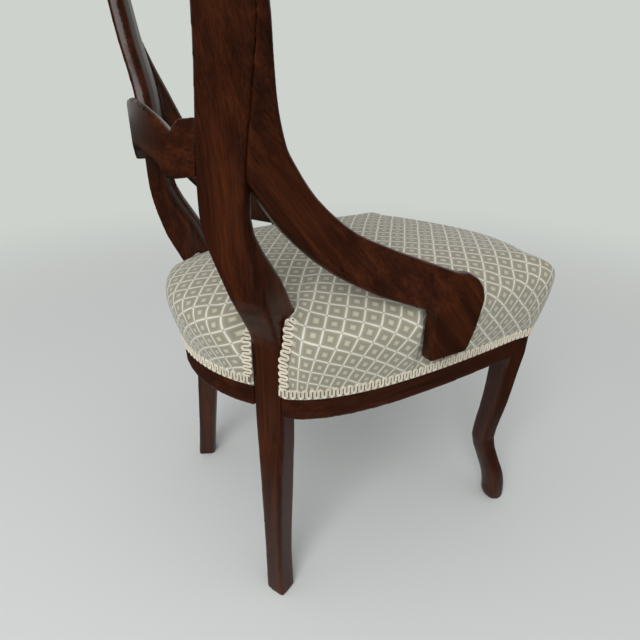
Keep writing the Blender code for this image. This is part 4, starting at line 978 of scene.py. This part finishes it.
def flat_cloth(node, material, sag):
    """A cloth in place of a thin plate of the frame, hung a little in the middle."""
    piece = bmesh.new()
    piece.from_mesh(nodes[node].data)
    bmesh.ops.remove_doubles(piece, verts=piece.verts, dist=WELD)
    low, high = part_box(node)
    for axis, normal in ((0, (1, 0, 0)), (1, (0, 1, 0))):
        for cut in np.arange(low[axis] + CUT_STEP, high[axis] - LAST_CUT * CUT_STEP, CUT_STEP):
            every = piece.verts[:] + piece.edges[:] + piece.faces[:]
            bmesh.ops.bisect_plane(piece, geom=every, plane_co=Vector(normal) * cut, plane_no=normal)
    middle, half = (low + high) / 2, (high - low) / 2
    short = next((shares for name, shares in TURNED_IN.items() if node.startswith(name)), (1.0, 1.0))
    area = sum(f.calc_area() for f in piece.faces if f.normal.z > FACING_UP)
    for vert in piece.verts:
        x, y = ((vert.co[k] - middle[k]) / half[k] for k in (0, 1))
        vert.co.z -= sag * max(0, 1 - x * x) * max(0, 1 - y * y)
        vert.co.x, vert.co.y = (middle[k] + (vert.co[k] - middle[k]) * short[k] for k in (0, 1))
    mesh = bpy.data.meshes.new(node + "_cloth")
    piece.to_mesh(mesh)
    piece.free()
    mesh.materials.append(material)
    cloth = bpy.data.objects.new(node + "_cloth", mesh)
    bpy.context.scene.collection.objects.link(cloth)
    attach(cloth, "root")
    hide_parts(node)
    print(node, "cut to", round(2 * half.x, 3), "x", round(2 * half.y, 3), "m")


for node in sorted(nodes):
    if node == "dust_lining":
        flat_cloth(node, cambric, sag=LINING_SAG)
    elif node == "spring_hessian" or node.startswith("webbing"):
        flat_cloth(node, jute, sag=0.0)

# %% [markdown]
# ## Floor and light
# The chair stands on a plain pale floor that fades into an even backdrop, so no horizon cuts the
# picture. Polish shows what stands round it, so what it mirrors of the floor further off is dim.

# %% Floor
FLOOR, BACKDROP = "#d3d6d4", "#ced2cd"
DIM = 0.05  # level of the room round the studio, as a share of the backdrop
FLOOR_HALF, FLOOR_DROP = 9, 0.5 * MM
SEEN_FADE, MIRRORED_FADE = (0.8, 2.4), (0.15, 0.6)  # metres from the chair over which the floor fades

floor_mesh = bpy.data.meshes.new("floor")
low, high = -FLOOR_HALF, FLOOR_HALF
floor_mesh.from_pydata([(low, low, 0), (high, low, 0), (high, high, 0), (low, high, 0)], [], [(0, 1, 2, 3)])
floor = bpy.data.objects.new("floor", floor_mesh)
floor.location.z = -FLOOR_DROP
bpy.context.scene.collection.objects.link(floor)
paper, tree, shader = finish_of("floor_paper", Roughness=0.9, Base_Color=linear(FLOOR))
ray = add(tree, "ShaderNodeLightPath").outputs
place = add(tree, "ShaderNodeTexCoord").outputs["Object"]
away = add(tree, "ShaderNodeVectorMath", {0: place}, operation="LENGTH").outputs["Value"]
straight = add(tree, "ShaderNodeMath", {0: ray["Is Camera Ray"], 1: ray["Is Transmission Ray"]},
               operation="MAXIMUM").outputs[0]
faded = []
for rays, (start, end) in ((straight, SEEN_FADE), (ray["Is Glossy Ray"], MIRRORED_FADE)):
    far = add(tree, "ShaderNodeMapRange", {0: away, 1: start, 2: end}, interpolation_type="SMOOTHSTEP")
    faded.append(add(tree, "ShaderNodeMath", {0: far.outputs[0], 1: rays}, operation="MULTIPLY").outputs[0])
share = add(tree, "ShaderNodeMath", {0: faded[0], 1: faded[1]}, operation="MAXIMUM").outputs[0]
level = add(tree, "ShaderNodeMapRange", {0: ray["Is Glossy Ray"], 3: 1.0, 4: DIM}).outputs[0]
glow = add(tree, "ShaderNodeEmission", {"Color": linear(BACKDROP), "Strength": level}).outputs[0]
mixed = add(tree, "ShaderNodeMixShader", {0: share, 1: shader.outputs[0], 2: glow}).outputs[0]
tree.links.new(mixed, tree.nodes["Material Output"].inputs[0])
floor_mesh.materials.append(paper)
floor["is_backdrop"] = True
print("floor:", 2 * FLOOR_HALF, "m across")

# %% [markdown]
# One large soft lamp stands behind the camera, and the pale surroundings fill the shadows. Only the
# side behind the chair has a pale backdrop to mirror. The rest of the room is dim, so the faces turned
# to the camera keep the deep colour of the wood, and only edges that turn away pick up a grey shine.

# %% Light
VIEW_SIDE = (0.87, -0.5, 0.0)  # from the camera towards the chair
VIEW_FADE = (0.3, 0.7, 1 - DIM, 0.0)  # two cosines of the turn from it, and what is missing at each
LIGHT_SIDE = (-0.62, 0.55, 0.56)  # from the chair towards the brighter part of the room
LIGHT_FADE = (-0.8, 0.8, 0.16, 0.8)  # two cosines of the turn from it, and the light at each
LAMP_SPOT, LAMP_AIM = Vector((-1.45, 1.55, 1.9)), Vector((0, 0, 0.35))
LAMP_SIZE, LAMP_WATTS = 1.6, 39

world = bpy.data.worlds.new("studio")
bpy.context.scene.world = world
world.use_nodes = True
tree = world.node_tree
ray = add(tree, "ShaderNodeLightPath").outputs
way = add(tree, "ShaderNodeTexCoord").outputs["Generated"]
faded = []
for side, (start, end, low, high) in ((VIEW_SIDE, VIEW_FADE), (LIGHT_SIDE, LIGHT_FADE)):
    toward = add(tree, "ShaderNodeVectorMath", {0: way, 1: side}, operation="DOT_PRODUCT").outputs["Value"]
    faded.append(add(tree, "ShaderNodeMapRange", {0: toward, 1: start, 2: end, 3: low, 4: high},
                     interpolation_type="SMOOTHSTEP").outputs[0])
dark = add(tree, "ShaderNodeMath", {0: faded[0], 1: ray["Is Glossy Ray"]}, operation="MULTIPLY").outputs[0]
level = add(tree, "ShaderNodeMath", {0: 1.0, 1: dark}, operation="SUBTRACT").outputs[0]
shown = add(tree, "ShaderNodeBackground", {"Color": linear(BACKDROP), "Strength": level}).outputs[0]
fill = add(tree, "ShaderNodeBackground", {"Color": linear("#ffffff"), "Strength": faded[1]}).outputs[0]
seen = ray["Is Camera Ray"]
for kind in ("Is Glossy Ray", "Is Transmission Ray"):
    seen = add(tree, "ShaderNodeMath", {0: seen, 1: ray[kind]}, operation="MAXIMUM").outputs[0]
mixed = add(tree, "ShaderNodeMixShader", {0: seen, 1: fill, 2: shown}).outputs[0]
out = tree.nodes.get("World Output") or add(tree, "ShaderNodeOutputWorld")
tree.links.new(mixed, out.inputs[0])

lamp_data = bpy.data.lights.new("window", "AREA")
lamp_data.shape = "DISK"
lamp_data.size = LAMP_SIZE
lamp_data.energy = LAMP_WATTS
lamp = bpy.data.objects.new("window", lamp_data)
lamp.location = LAMP_SPOT
lamp.rotation_euler = (LAMP_AIM - LAMP_SPOT).to_track_quat("-Z", "Y").to_euler()
bpy.context.scene.collection.objects.link(lamp)
bpy.context.scene.view_settings.view_transform = "Standard"
print("lamp:", LAMP_WATTS, "W,", round((LAMP_AIM - LAMP_SPOT).length, 2), "m from the seat")

# %% [markdown]
# Last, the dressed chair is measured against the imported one.

# %% Measure and finish
visual_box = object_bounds()
growth = [[round((a - b) / MM, 1) for a, b in zip(v, c)] for v, c in zip(visual_box, cad_box)]
print("grown by", growth, "mm")
